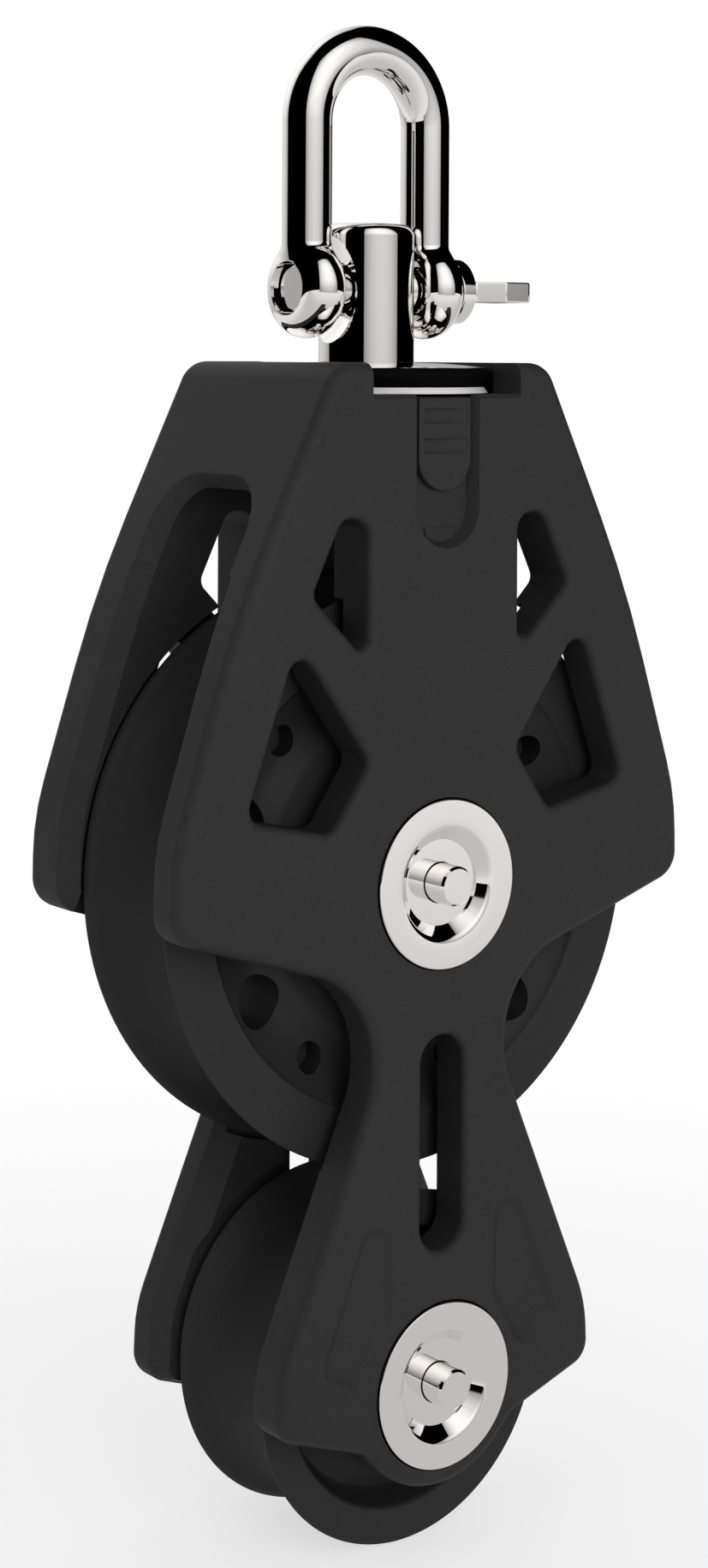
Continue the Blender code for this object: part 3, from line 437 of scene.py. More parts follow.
# Swivel post: a turned stainless post that stands out of the head. Each side has a shallow ball-milled well
# beside an ear of the shackle, and a cross hole takes the pin.
POST_R = 5.03
POST_TOP_Z = 67.4
PLATE_TOP_Z = 52.6
PLATE_BOTTOM_Z = 49.7
SHANK_R = 4.0
NUT_BOTTOM_Z = 40.3
WELL_FLOOR_X = 3.1
WELL_R = 9.2
post_profile = [(0, NUT_BOTTOM_Z), (SHANK_R - 0.3, NUT_BOTTOM_Z), (SHANK_R, NUT_BOTTOM_Z + 0.3)]
post_profile += [(SHANK_R, PLATE_BOTTOM_Z), (POST_R, PLATE_BOTTOM_Z), (POST_R, 55.0), (POST_R, 60.0)]
post_profile += arc(POST_R - 1.3, POST_TOP_Z - 1.3, 1.3, 0, 90, 12) + [(0, POST_TOP_Z)]
post = turned("post", post_profile, "Z", 128)
for side in (-1, 1):
    dish = arc(0, WELL_FLOOR_X + WELL_R, WELL_R, -87, -45, 20)
    cutter = [(0, side * WELL_FLOOR_X)] + [(r, side * h) for r, h in dish]
    work(post, turned("ear_well", cutter + [(0, cutter[-1][1])], "X", 120, (0, 0, PIN_Z)))
work(post, rod("post_eye", PIN_HOLE_R, "X", (-12, 12), (0, 0, PIN_Z)))
smooth(post)
finish_piece(post, mirror_steel, "swivel", "polished_steel", "swivel_post")


# Shell: one moulding of fine-grained black plastic. Two cheeks, pierced by windows and relieved inside for
# the sheaves, are joined above the upper sheave by a solid head with an arch through it for the rope.
AXLE_SPACING = 50.9
CHEEK_INNER = 8.0
CHEEK_OUTER = 13.9
FRONT_INNER = 7.7
REAR_INNER = 6.6
FRONT_RIDGES = (9.7, 9.0)
REAR_RIDGES = (8.2, 10.1)
REAR_FOOT_DROP = 0.7
BEVEL = 1.15
CEILING_Z = 40.0
SHELL_TOP_Z = 52.9
POCKET_FLOOR_Z = 49.4
EDGE_FILLET = 1.4
WINDOW_FILLET = 0.95
UPPER_WINDOW = [(9.75, 23.05, 1.0), (16.6, 29.9, 1.3), (12.95, 37.5, 1.7), (9.75, 37.0, 1.7)]
LOWER_WINDOW = [(14.1, 6.3, 1.6), (24.45, 8.55, 1.6), (18.35, 25.45, 1.6), (9.5, 13.05, 1.5)]
SLOT = [(-2.75, -37.3, 2.7), (2.75, -37.3, 2.7), (2.75, -15.5, 2.7), (-2.75, -15.5, 2.7)]
RELIEF = [(6.8, -42.9, 2.5), (10.4, -49.0, 1.5), (15.2, -47.0, 1.6), (9.75, -33.6, 1.5), (7.0, -34.0, 1.3)]
OUTLINE = [(10.4 * math.tan(math.radians(30)) + 0.3, -61.3, 10.4), (9.007, -56.308, 3.0), (20.2, -52.4, 2.8),
           (19.95, -46.4, 14.0), (8.5, -19.6, 9.0), (8.5, -10.0, 10.0), (32.7, -2.25, 3.2), (32.6, 6.2, 26.0),
           (25.25, 29.2, 120.0), (13.8, SHELL_TOP_Z, 3.2)]
FOOT_CORNERS = 3
FOOT_DRIFT = 0.0416
UPPER_SEAT_R = 8.78
LOWER_SEAT_R = 8.54
SEAT_FLOOR_Y = 11.9
AXLE_BORE_R = 5.3
HUB_LAND_R = 12.5
UPPER_POCKET_R = 30.7
UPPER_POCKET_Y = 9.2
LOWER_LAND_R = 9.8
LOWER_POCKET_R = 18.75
LOWER_POCKET_Y = 8.6
LOWER_GAP_TOP_Z = -20
SLOT_RELIEF_HALF = 4.4
SLOT_RELIEF_FOOT_Z = -38.9
TOOL_END_Y = -5


def left_hand(corners):
    """The same corners on the other side of the middle."""
    return [(-x, z, r) for x, z, r in reversed(corners)]


def fillet_stations(sign, radius=EDGE_FILLET, steps=6):
    """(growth, y) of the rounded edge between the outer face and a wall."""
    made = []
    for k in range(steps + 1):
        angle = math.pi / 2 * k / steps
        made.append((sign * radius * (1 - math.sin(angle)), -CHEEK_OUTER + radius * (1 - math.cos(angle))))
    return made


def fill_at(piece, y):
    """Close the open edges that lie in a plane across the shell."""
    take(piece)
    bpy.ops.object.mode_set(mode="EDIT")
    bpy.ops.mesh.select_mode(type="EDGE")
    bpy.ops.mesh.select_all(action="DESELECT")
    bpy.ops.mesh.select_non_manifold(extend=False, use_wire=False, use_multi_face=False,
                                     use_non_contiguous=False, use_verts=False)
    bpy.ops.object.mode_set(mode="OBJECT")
    for edge in piece.data.edges:
        inside = all(abs(piece.data.vertices[i].co.y - y * MM) < 1e-6 for i in edge.vertices)
        edge.select = edge.select and inside
    for vertex in piece.data.vertices:
        vertex.select = False
    bpy.ops.object.mode_set(mode="EDIT")
    bpy.ops.mesh.fill(use_beauty=True)
    bpy.ops.object.mode_set(mode="OBJECT")


def disc_seat(z, seat_r, inner):
    """Counterbore for an axle disc, and the bore behind it."""
    angles = [2 * math.pi * k / 72 for k in range(72)]
    steps = ((seat_r, -CHEEK_OUTER), (seat_r, -SEAT_FLOOR_Y),
             (AXLE_BORE_R, -SEAT_FLOOR_Y), (AXLE_BORE_R, -inner))
    stations = [([(r * math.cos(a), z + r * math.sin(a)) for a in angles], y) for r, y in steps]
    return loft("disc_seat", stations, "XZ", capped=False)


def lower_share(z):
    """0 on the upper cheek, 1 on the lower one, and between them at the waist."""
    return min(max((-4.0 - z) / 8.0, 0.0), 1.0)


def let_down(drop):
    """The whole outline, with the foot of the lower cheek let down."""
    foot = [(x + FOOT_DRIFT * drop, z - drop, r) for x, z, r in OUTLINE[:FOOT_CORNERS]]
    half = foot + OUTLINE[FOOT_CORNERS:]
    return half + left_hand(half)


def cheek_rim(ridges, foot_drop, inner):
    """Rings of a cheek's rim: round at the outer face, a ridge, and a bevel that runs to the inner face."""
    upper, lower = ridges

    def ridge(rise):
        return lambda z: -(upper + (lower - upper) * lower_share(z) + rise)

    around = let_down(foot_drop)
    rings = [(polygon(around, grow), y) for grow, y in fillet_stations(-1)]
    for grow, rise in ((0.0, 0.3), (-0.06, 0.02), (-0.23, -0.2)):
        rings.append((polygon(around, grow), ridge(rise)))
    reaches = [BEVEL * (depth - inner) for depth in ridges]
    upper_end, lower_end = [polygon(let_down(foot_drop + 0.7 * reach), -reach) for reach in reaches]
    bevel = []
    for (x0, z0), (x1, z1) in zip(upper_end, lower_end):
        share = lower_share(z0)
        bevel.append((x0 + (x1 - x0) * share, z0 + (z1 - z0) * share))
    return rings + [(bevel, -inner)]


def relief_tool(corners):
    """A shallow sunk panel with a soft wall, to be cut into a cheek's outer face."""
    steps = ((1.3, -0.4), (0.55, 0.0), (0.3, 0.07), (0.05, 0.24), (-0.25, 0.44), (-0.55, 0.55), (-0.9, 0.6))
    return loft("relief", [(polygon(corners, grow, 10.0), -CHEEK_OUTER + depth) for grow, depth in steps], "XZ")


def cheek(name, ridges, foot_drop, inner):
    """One cheek in the front's place: rim, windows, disc seats, sheave pockets, slot relief and sunk panels."""
    walls = [loft(name, cheek_rim(ridges, foot_drop, inner), "XZ", capped=False)]
    for window in (SLOT, UPPER_WINDOW, left_hand(UPPER_WINDOW), LOWER_WINDOW, left_hand(LOWER_WINDOW)):
        stations = fillet_stations(1, WINDOW_FILLET) + [(0.0, -inner)]
        walls.append(loft("window", [(polygon(window, grow), y) for grow, y in stations], "XZ", capped=False))
    walls.append(disc_seat(0.0, UPPER_SEAT_R, inner))
    walls.append(disc_seat(-AXLE_SPACING, LOWER_SEAT_R, inner))
    take(*reversed(walls))
    bpy.ops.object.join()
    piece = bpy.context.object
    fill_at(piece, -CHEEK_OUTER)
    fill_at(piece, -inner)
    weld(piece)
    pocket = [(0, -CHEEK_INNER), (HUB_LAND_R, -CHEEK_INNER), (HUB_LAND_R, -UPPER_POCKET_Y),
              (UPPER_POCKET_R, -UPPER_POCKET_Y), (UPPER_POCKET_R, TOOL_END_Y), (0, TOOL_END_Y)]
    work(piece, turned("upper_pocket", pocket, "Y", 160))
    work(piece, block("lower_gap", (-40, 40), (-CHEEK_INNER, TOOL_END_Y), (-70, LOWER_GAP_TOP_Z)))
    pocket = [(LOWER_LAND_R, -LOWER_POCKET_Y), (LOWER_POCKET_R, -LOWER_POCKET_Y),
              (LOWER_POCKET_R, TOOL_END_Y), (LOWER_LAND_R, TOOL_END_Y)]
    work(piece, turned("lower_pocket", pocket, "Y", 120, (0, 0, -AXLE_SPACING)))
    work(piece, block("slot_relief", (-SLOT_RELIEF_HALF, SLOT_RELIEF_HALF), (-UPPER_POCKET_Y, TOOL_END_Y),
                      (SLOT_RELIEF_FOOT_Z, LOWER_GAP_TOP_Z)))
    work(piece, relief_tool(RELIEF))
    work(piece, relief_tool(left_hand(RELIEF)))
    return piece


cheeks = cheek("front_cheek", FRONT_RIDGES, 0.0, FRONT_INNER)
rear_cheek = cheek("rear_cheek", REAR_RIDGES, REAR_FOOT_DROP, REAR_INNER)
take(rear_cheek)
bpy.ops.object.mode_set(mode="EDIT")
bpy.ops.mesh.select_all(action="SELECT")
bpy.ops.transform.mirror(constraint_axis=(False, True, False), center_override=(0, 0, 0))
bpy.ops.mesh.flip_normals()
bpy.ops.object.mode_set(mode="OBJECT")
take(rear_cheek, cheeks)
bpy.ops.object.join()


def above(points, z):
    """The part of an outline above a height."""
    kept = []
    for (x0, z0), (x1, z1) in zip(points, points[1:] + points[:1]):
        if z0 >= z:
            kept.append((x0, z0))
        if (z0 < z) != (z1 < z):
            kept.append((x0 + (x1 - x0) * (z - z0) / (z1 - z0), z))
    return kept


HEAD_HALF = 10.95
head_outline = above(polygon(let_down(0.0), -0.01), CEILING_Z - 8)
shell = loft("shell_moulding", [(head_outline, -HEAD_HALF), (head_outline, HEAD_HALF)], "XZ")
SIDE_X, SIDE_Z, _ = OUTLINE[-2]
SIDE_SLOPE = (SIDE_X - OUTLINE[-1][0]) / (SHELL_TOP_Z - SIDE_Z)
ARCH_GAP = 0.03
ARCH_FALL = 24
ARCH_CORNER = 4.2


def mouth(side, inset):
    """The place of a section of the arch, which follows the slope of the head's side."""
    return lambda z: side * (SIDE_X - SIDE_SLOPE * (z - SIDE_Z) - inset)


def arch_section(spread):
    """The arch between the inner faces, wider all round by spread."""
    front, rear = -FRONT_INNER - ARCH_GAP - spread, REAR_INNER + ARCH_GAP + spread
    top, corner = CEILING_Z + spread, ARCH_CORNER + spread
    corners = [(front, CEILING_Z - ARCH_FALL, 0.1), (rear, CEILING_Z - ARCH_FALL, 0.1),
               (rear, top, corner), (front, top, corner)]
    return polygon(corners)


flare = [(2.04, 0.0), (0.26, 1.4), (0.07, 1.58), (0.0, 1.9), (-0.3, 2.5), (-6.0, 14.0)]
arch = [(arch_section(spread), mouth(-1, inset)) for inset, spread in reversed(flare)]
arch += [(arch_section(spread), mouth(1, inset)) for inset, spread in flare]
work(shell, loft("rope_arch", arch, "YZ"))
for window in (UPPER_WINDOW, left_hand(UPPER_WINDOW)):
    passage = polygon(window, 0.02)
    work(shell, loft("passage", [(passage, -CHEEK_OUTER), (passage, CHEEK_OUTER)], "XZ"))
work(shell, cheeks, "UNION")
PLATE_POCKET_R = 13.5
PLATE_POCKET_FLAT_X = 11.4
OVER_TOP_Z = 70
flat_reach = math.degrees(math.acos(PLATE_POCKET_FLAT_X / PLATE_POCKET_R))
pocket = arc(0, 0, PLATE_POCKET_R, flat_reach, 180 - flat_reach, 40)
pocket += [(-x, -y) for x, y in pocket]
work(shell, loft("plate_pocket", [(pocket, POCKET_FLOOR_Z), (pocket, OVER_TOP_Z)], "XY"))
BUSH_R = 5.7
BUSH_FLANGE_R = 7.3
BUSH_FLANGE_Z = 48.2
BORE_FOOT_Z = 39
bore = [(0, BORE_FOOT_Z), (BUSH_R, BORE_FOOT_Z), (BUSH_R, BUSH_FLANGE_Z), (BUSH_FLANGE_R, BUSH_FLANGE_Z),
        (BUSH_FLANGE_R, OVER_TOP_Z), (0, OVER_TOP_Z)]
work(shell, turned("swivel_bore", bore, "Z", 72))
NUT_SEAT_R = 7.81
NUT_SEAT_Z = (39.6, 45.1)
work(shell, rod("nut_seat", NUT_SEAT_R, "Z", NUT_SEAT_Z, (0, 0, 0), 72))
NOTCH_HALF = 9.6
notch = [(-NOTCH_HALF, PLATE_BOTTOM_Z, 0.35), (NOTCH_HALF, PLATE_BOTTOM_Z, 0.35),
         (NOTCH_HALF, OVER_TOP_Z, 0.1), (-NOTCH_HALF, OVER_TOP_Z, 0.1)]
SILL_FALL = 0.45
sill = [(x, z if z == OVER_TOP_Z else z - SILL_FALL, r) for x, z, r in notch]
stations = [(polygon(sill), -16), (polygon(sill), -CHEEK_OUTER),
            (polygon(notch), -CHEEK_OUTER + 0.5), (polygon(notch), 0)]
work(shell, loft("lock_notch", stations, "XZ"))
TRACK_FOOT_Z = 38.2
TRACK_HALF = 4.12
TRACK_SLOPE = 0.5
TRACK_DEPTH = 1.4
STOP_Z = 36.05


def tongue(half, foot_z, top_z):
    """A tongue's outline with a half-round foot."""
    return arc(0.0, foot_z, half, 180, 360, 40) + [(half, top_z), (-half, top_z)]


track = [(tongue(TRACK_HALF - TRACK_SLOPE * depth, TRACK_FOOT_Z, 60), -CHEEK_OUTER + depth)
         for depth in (-1, TRACK_DEPTH)]
work(shell, loft("slider_track", track, "XZ"))
stop = [(arc(0.0, STOP_Z, radius, 180, 360, 24), -CHEEK_OUTER + TRACK_DEPTH + rise)
        for radius, rise in ((2.0, 0.2), (2.0, -0.1), (1.9, -0.16))]
work(shell, loft("track_stop", stop, "XZ"), "UNION")


def grain_group():
    """Fine spark-eroded grain of a mould, with a slow drift of shade over the piece."""
    group = bpy.data.node_groups.new("mould_grain", "ShaderNodeTree")
    socket(group, "Shade", "NodeSocketColor", "INPUT", (0.02, 0.02, 0.021, 1))
    socket(group, "Grain Scale", "NodeSocketFloat", "INPUT", 4200.0)
    socket(group, "Contrast", "NodeSocketFloat", "INPUT", 0.35)
    socket(group, "Dullness", "NodeSocketFloat", "INPUT", 0.58)
    socket(group, "Color", "NodeSocketColor", "OUTPUT")
    socket(group, "Roughness", "NodeSocketFloat", "OUTPUT")
    socket(group, "Height", "NodeSocketFloat", "OUTPUT")
    nodes = group.nodes
    entry, leave = nodes.new("NodeGroupInput"), nodes.new("NodeGroupOutput")
    place = nodes.new("ShaderNodeTexCoord")
    grain = nodes.new("ShaderNodeTexNoise")
    grain.inputs["Detail"].default_value = 2.0
    grain.inputs["Roughness"].default_value = 0.6
    drift = nodes.new("ShaderNodeTexNoise")
    drift.inputs["Scale"].default_value = 70.0
    drift.inputs["Detail"].default_value = 3.0
    fine = nodes.new("ShaderNodeMath")
    fine.operation = "SUBTRACT"
    fine.inputs[1].default_value = 0.5
    slow = nodes.new("ShaderNodeMath")
    slow.operation = "MULTIPLY_ADD"
    slow.inputs[1].default_value = 0.35
    slow.inputs[2].default_value = -0.175
    both = nodes.new("ShaderNodeMath")
    both.operation = "ADD"
    share = nodes.new("ShaderNodeMath")
    share.operation = "MULTIPLY_ADD"
    share.inputs[2].default_value = 1.0
    shade = nodes.new("ShaderNodeVectorMath")
    shade.operation = "SCALE"
    dull = nodes.new("ShaderNodeMath")
    dull.operation = "MULTIPLY_ADD"
    dull.inputs[1].default_value = 0.16
    wire(group, (place.outputs["Object"], grain.inputs["Vector"]),
         (entry.outputs["Grain Scale"], grain.inputs["Scale"]),
         (place.outputs["Object"], drift.inputs["Vector"]), (grain.outputs["Fac"], fine.inputs[0]),
         (drift.outputs["Fac"], slow.inputs[0]), (fine.outputs["Value"], both.inputs[0]),
         (slow.outputs["Value"], both.inputs[1]), (both.outputs["Value"], share.inputs[0]),
         (entry.outputs["Contrast"], share.inputs[1]), (entry.outputs["Shade"], shade.inputs[0]),
         (share.outputs["Value"], shade.inputs["Scale"]), (shade.outputs["Vector"], leave.inputs["Color"]),
         (fine.outputs["Value"], dull.inputs[0]), (entry.outputs["Dullness"], dull.inputs[2]),
         (dull.outputs["Value"], leave.inputs["Roughness"]), (grain.outputs["Fac"], leave.inputs["Height"]))
    return group


def moulded(name, shade, dullness, contrast, group, shine=0.25):
    """Moulded plastic with the mould's grain on it."""
    material = bpy.data.materials.new(name)
    material.use_nodes = True
    tree = material.node_tree
    shader = tree.nodes["Principled BSDF"]
    shader.inputs["Specular IOR Level"].default_value = shine
    grain = tree.nodes.new("ShaderNodeGroup")
    grain.node_tree = group
    grain.inputs["Shade"].default_value = (*shade, 1)
    grain.inputs["Dullness"].default_value = dullness
    grain.inputs["Contrast"].default_value = contrast
    bump = tree.nodes.new("ShaderNodeBump")
    bump.inputs["Strength"].default_value = 0.25
    bump.inputs["Distance"].default_value = 0.00006
    wire(tree, (grain.outputs["Color"], shader.inputs["Base Color"]),
         (grain.outputs["Roughness"], shader.inputs["Roughness"]),
         (grain.outputs["Height"], bump.inputs["Height"]), (bump.outputs["Normal"], shader.inputs["Normal"]))
    return material


mould_grain = grain_group()
shell_plastic = moulded("shell_plastic", (0.020, 0.020, 0.0205), 0.60, 0.9, mould_grain)
smooth(shell, 24)
finish_piece(shell, shell_plastic, "shell", "moulded_plastic", "shell")


# Head plate: a thin domed plate of stainless steel, let into the top of the shell on a near-black ring with
# almost no shine,
# which is painted reflection: it gives the dark band round the plate's rim. The ring sits on a thin acetal slip
# ring.
# Flats on two sides keep the stack from turning in its pocket.
PLATE_R = 13.2
PLATE_FLAT_X = 11.1
DARK_BAND_TOP_Z = 52.3
RING_TOP_Z = 50.36
BORE_R = POST_R + 0.1
plate_profile = [(BORE_R, DARK_BAND_TOP_Z + 0.02), (12.75, DARK_BAND_TOP_Z + 0.02), (12.78, DARK_BAND_TOP_Z + 0.06)]
plate_profile += [(12.7, DARK_BAND_TOP_Z + 0.1), (10.5, 52.62), (8.0, 52.79)]
plate_profile += [(BORE_R + 0.15, PLATE_TOP_Z + 0.28), (BORE_R, PLATE_TOP_Z + 0.1)]
dark_band_profile = [(BORE_R, RING_TOP_Z + 0.02), (12.3, RING_TOP_Z + 0.02), (12.44, 50.55)]
dark_band_profile += arc(PLATE_R - 0.75, 51.62, 0.75, -48, 60, 12) + [(BORE_R, DARK_BAND_TOP_Z)]
ring_profile = [(BORE_R, PLATE_BOTTOM_Z), (12.8, PLATE_BOTTOM_Z), (12.86, PLATE_BOTTOM_Z + 0.06)]
ring_profile += [(12.42, RING_TOP_Z), (BORE_R, RING_TOP_Z)]
# Painted reflection: this near-black ring with almost no shine stands for the dark band that the steel rim
# shows.
painted_dark_band = moulded("black_painted_reflection", (0.0025, 0.0025, 0.0026), 0.8, 0.3, mould_grain, 0.02)
acetal = moulded("acetal_white", (0.66, 0.65, 0.62), 0.42, 0.06, mould_grain)
for name, profile, finish, slot in (("plate", plate_profile, mirror_steel, "polished_steel"),
                                    ("dark_band_ring", dark_band_profile, painted_dark_band, "moulded_plastic"),
                                    ("slip_ring", ring_profile, acetal, "acetal")):
    piece = turned(name, profile, "Z", 160)
    for side in (-1, 1):
        span = sorted((side * PLATE_FLAT_X, side * 20))
        work(piece, block("plate_flat", span, (-20, 20), (48, 54)))
    smooth(piece, 25)
    finish_piece(piece, finish, "shell", slot, "head_plate")


# Lock slider: a thumb slider of the same plastic, dovetailed into its track on the front of the head.
# Two shallow grooves across its face give the thumb a grip.
SLIDER_HALF = 3.4
SLIDER_TOP_Z = 49.3
SLIDER_ARC_Z = 43.3
FACE_Y = -13.42
BACK_Y = -12.68
GRIP_TOPS = (48.3, 45.24)
GRIP_HEIGHT = 1.55
GRIP_HALF = 2.76
slider_stations = [(tongue(SLIDER_HALF - grow, SLIDER_ARC_Z, SLIDER_TOP_Z), y) for grow, y in
                   ((0.16, FACE_Y), (0.05, FACE_Y + 0.05), (0.0, FACE_Y + 0.16), (0.0, BACK_Y))]
slider = loft("slider", slider_stations, "XZ")
for top in GRIP_TOPS:
    foot = top - GRIP_HEIGHT
    groove = [([(FACE_Y - 1, foot), (FACE_Y + depth, foot), (FACE_Y + depth, top), (FACE_Y - 1, top)], x)
              for x, depth in ((-GRIP_HALF, 0.6), (GRIP_HALF, 0.05))]
    work(slider, loft("grip", groove, "YZ"))
smooth(slider)
finish_piece(slider, shell_plastic, "lock_slider", "moulded_plastic", "lock_slider")


# Sheaves: turned or moulded wheels of black plastic with a round rope groove. Their bores are ball races.
# The large one has a dished web, with large holes right through it and small blind ones between them.
SHEAVE_HALF = 7.45
GROOVE_HALF = 6.9
GROOVE_REACH = 76
SHIELD_GAP = 0.45
WEB_EDGE = 7.1
TROUGH = 0.42
WEB_HOLES = 14
WEB_HOLE_TURN = math.radians(32.1)
WEB_CIRCLE_R = 20.9
WEB_HOLE_R = 2.7
DIMPLE_R = 1.65
DIMPLE_FLOOR_Y = 3.0


def sheave_side(rim_r, face_r, floor, hub_r, hub_half, bore_r, race_r, ball_r):
    """The rear side of a sheave's profile: bore, shield, trough of the web, flat ring and rim."""
    inner = ball_r + 0.3
    lip_r = race_r + SHIELD_GAP
    wide = face_r - hub_r
    side = [(bore_r, inner), (lip_r, inner), (lip_r, hub_half - 0.2), (lip_r + 0.2, hub_half)]
    for k in range(9):
        fall = (1 + math.cos(math.pi * k / 8)) / 2
        side.append((hub_r + wide * TROUGH * k / 8, floor + (hub_half - floor) * fall))
    for k in range(1, 11):
        side.append((hub_r + wide * (TROUGH + (1 - TROUGH) * k / 10),
                     floor + (WEB_EDGE - floor) * (k / 10) ** 1.8))
    side += [(face_r + 0.1, SHEAVE_HALF - 0.14), (face_r + 0.3, SHEAVE_HALF)]
    side += [(rim_r - 0.25, SHEAVE_HALF)]
    side += [(rim_r - 0.08, SHEAVE_HALF - 0.06), (rim_r, SHEAVE_HALF - 0.17),
             (rim_r - 0.03, SHEAVE_HALF - 0.28)]
    return side


def sheave(name, z, rim_r, groove_depth, face_r, floor, hub_half, ball_circle_r, ball_r, steps):
    """A whole sheave: its two sides, the rope groove between them and the ball race in its bore."""
    race_groove_r = ball_r + 0.1
    shoulder = 0.5 + ball_r / 3
    hub_r = ball_circle_r + race_groove_r + 0.6
    side = sheave_side(rim_r, face_r, floor, hub_r, hub_half,
                       ball_circle_r + shoulder, ball_circle_r - shoulder, ball_r)
    race_angle = math.degrees(math.acos(shoulder / race_groove_r))
    bowl = (groove_depth - 0.45) / (1 - math.cos(math.radians(GROOVE_REACH)))
    groove = []
    for k in range(25):
        angle = math.radians(GROOVE_REACH) * (1 - k / 12)
        groove.append((rim_r - groove_depth + bowl * (1 - math.cos(angle)), GROOVE_HALF * math.sin(angle)))
    profile = side + groove + [(r, -h) for r, h in reversed(side)]
    profile += arc(ball_circle_r, 0, race_groove_r, -race_angle, race_angle, 12)
    return turned(name, profile, "Y", steps, (0, 0, z))


upper_wheel = sheave("upper_wheel", 0.0, rim_r=30.0, groove_depth=5.2, face_r=24.2, floor=5.4, hub_half=6.5,
                     ball_circle_r=13.0, ball_r=3.0, steps=160)
for k in range(WEB_HOLES):
    angle = WEB_HOLE_TURN + 2 * math.pi * k / WEB_HOLES
    centre = (WEB_CIRCLE_R * math.cos(angle), 0, WEB_CIRCLE_R * math.sin(angle))
    if k % 2:
        work(upper_wheel, rod("web_hole", WEB_HOLE_R, "Y", (-9, 9), centre, 48))
        continue
    for ends in ((-9, -DIMPLE_FLOOR_Y), (DIMPLE_FLOOR_Y, 9)):
        work(upper_wheel, rod("web_dimple", DIMPLE_R, "Y", ends, centre, 36))
lower_wheel = sheave("lower_wheel", -AXLE_SPACING, rim_r=18.0, groove_depth=4.2, face_r=14.2,
                     floor=4.3, hub_half=4.4, ball_circle_r=9.2, ball_r=2.1, steps=128)
sheave_plastic = moulded("sheave_plastic", (0.018, 0.018, 0.0185), 0.55, 0.8, mould_grain)
for wheel, node in ((upper_wheel, "upper_sheave"), (lower_wheel, "lower_sheave")):
    smooth(wheel)
    finish_piece(wheel, sheave_plastic, node, "sheave_plastic", node)


# Axle discs and pins: polished stainless discs, dished in the middle, let into both cheeks at each axle.
# A small pin goes right through the axle and stands out of the dish.
DISC_FACE_Y = 14.2
DISC_BACK_Y = 12.2
PIN_TIP_Y = 15.8
AXLE_PIN_R = 2.02
UPPER_DISC_R = 8.63
LOWER_DISC_R = 8.39
DISC_BORE_R = 2.13
DISH_LIP_R = 6.75
DISH_FLOOR_R = 4.38
DISH_FLOOR_Y = 12.88


def disc_profile(disc_r, side):
    """A disc with a flat face, a broad rounded lip and a steep dish with a flat floor."""
    shape = [(DISC_BORE_R, DISC_BACK_Y), (disc_r, DISC_BACK_Y)]
    shape += arc(disc_r - 0.15, DISC_FACE_Y - 0.15, 0.15, 0, 90, 5) + [(DISH_LIP_R, DISC_FACE_Y)]
    shape += arc(6.08, DISC_FACE_Y - 0.93, 0.9, 90, 134, 10)
    shape += [(DISH_FLOOR_R, DISH_FLOOR_Y), (DISC_BORE_R, DISH_FLOOR_Y)]
    return [(r, side * h) for r, h in shape]


def axle_fittings(prefix, z, disc_r):
    """The two discs of an axle, and the pin through it."""
    for where, side in (("front", -1), ("rear", 1)):
        disc = turned(f"{prefix}_{where}_disc", disc_profile(disc_r, side), "Y", 96, (0, 0, z))
        smooth(disc)
        finish_piece(disc, mirror_steel, "shell", "polished_steel", f"{prefix}_{where}_axle_disc")
    half = [(AXLE_PIN_R, PIN_TIP_Y - 0.25), (1.79, PIN_TIP_Y), (1.5, PIN_TIP_Y), (0, PIN_TIP_Y)]
    profile = [(r, -h) for r, h in reversed(half)] + half
    axle_pin = turned(f"{prefix}_pin", profile, "Y", 56, (0, 0, z))
    smooth(axle_pin)
    finish_piece(axle_pin, mirror_steel, "shell", "polished_steel", f"{prefix}_axle_pin")


axle_fittings("upper", 0.0, UPPER_DISC_R)
axle_fittings("lower", -AXLE_SPACING, LOWER_DISC_R)


# Running gear inside: ground steel axles, races and balls, acetal washers and bush, a steel nut and washer.
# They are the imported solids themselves, under a finish of their own.
ground_steel = steel("ground_steel", (0.56, 0.56, 0.57), buffing, 0.34, 0.2, 0.12)
for name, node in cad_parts.items():
    if node.hide_render:
        continue
    node.data.materials.clear()
    slippery = "thrust_washer" in name or "bush" in name
    node.data.materials.append(acetal if slippery else ground_steel)


# Studio: a pale floor under the block, soft light all round, and a softbox in front to the left.
# The polished steel sees two tall soft panels, in front and behind, and a black tent; the floor shows in it as
# a painted reflection, a grey glow lighter towards the front and back.
def plain(name, colour):
    """A dull paint or paper of one colour."""
    material = bpy.data.materials.new(name)
    material.use_nodes = True
    shader = material.node_tree.nodes["Principled BSDF"]
    shader.inputs["Base Color"].default_value = (*colour, 1)
    shader.inputs["Roughness"].default_value = 0.9
    shader.inputs["Specular IOR Level"].default_value = 0.0
    return material


def ramp(tree, stops):
    """A colour ramp of greys from (place, level) stops."""
    made = tree.nodes.new("ShaderNodeValToRGB")
    made.color_ramp.interpolation = "EASE"
    while len(made.color_ramp.elements) < len(stops):
        made.color_ramp.elements.new(0.5)
    for element, (place, level) in zip(made.color_ramp.elements, stops):
        element.position = place
        element.color = (level, level, level, 1)
    return made


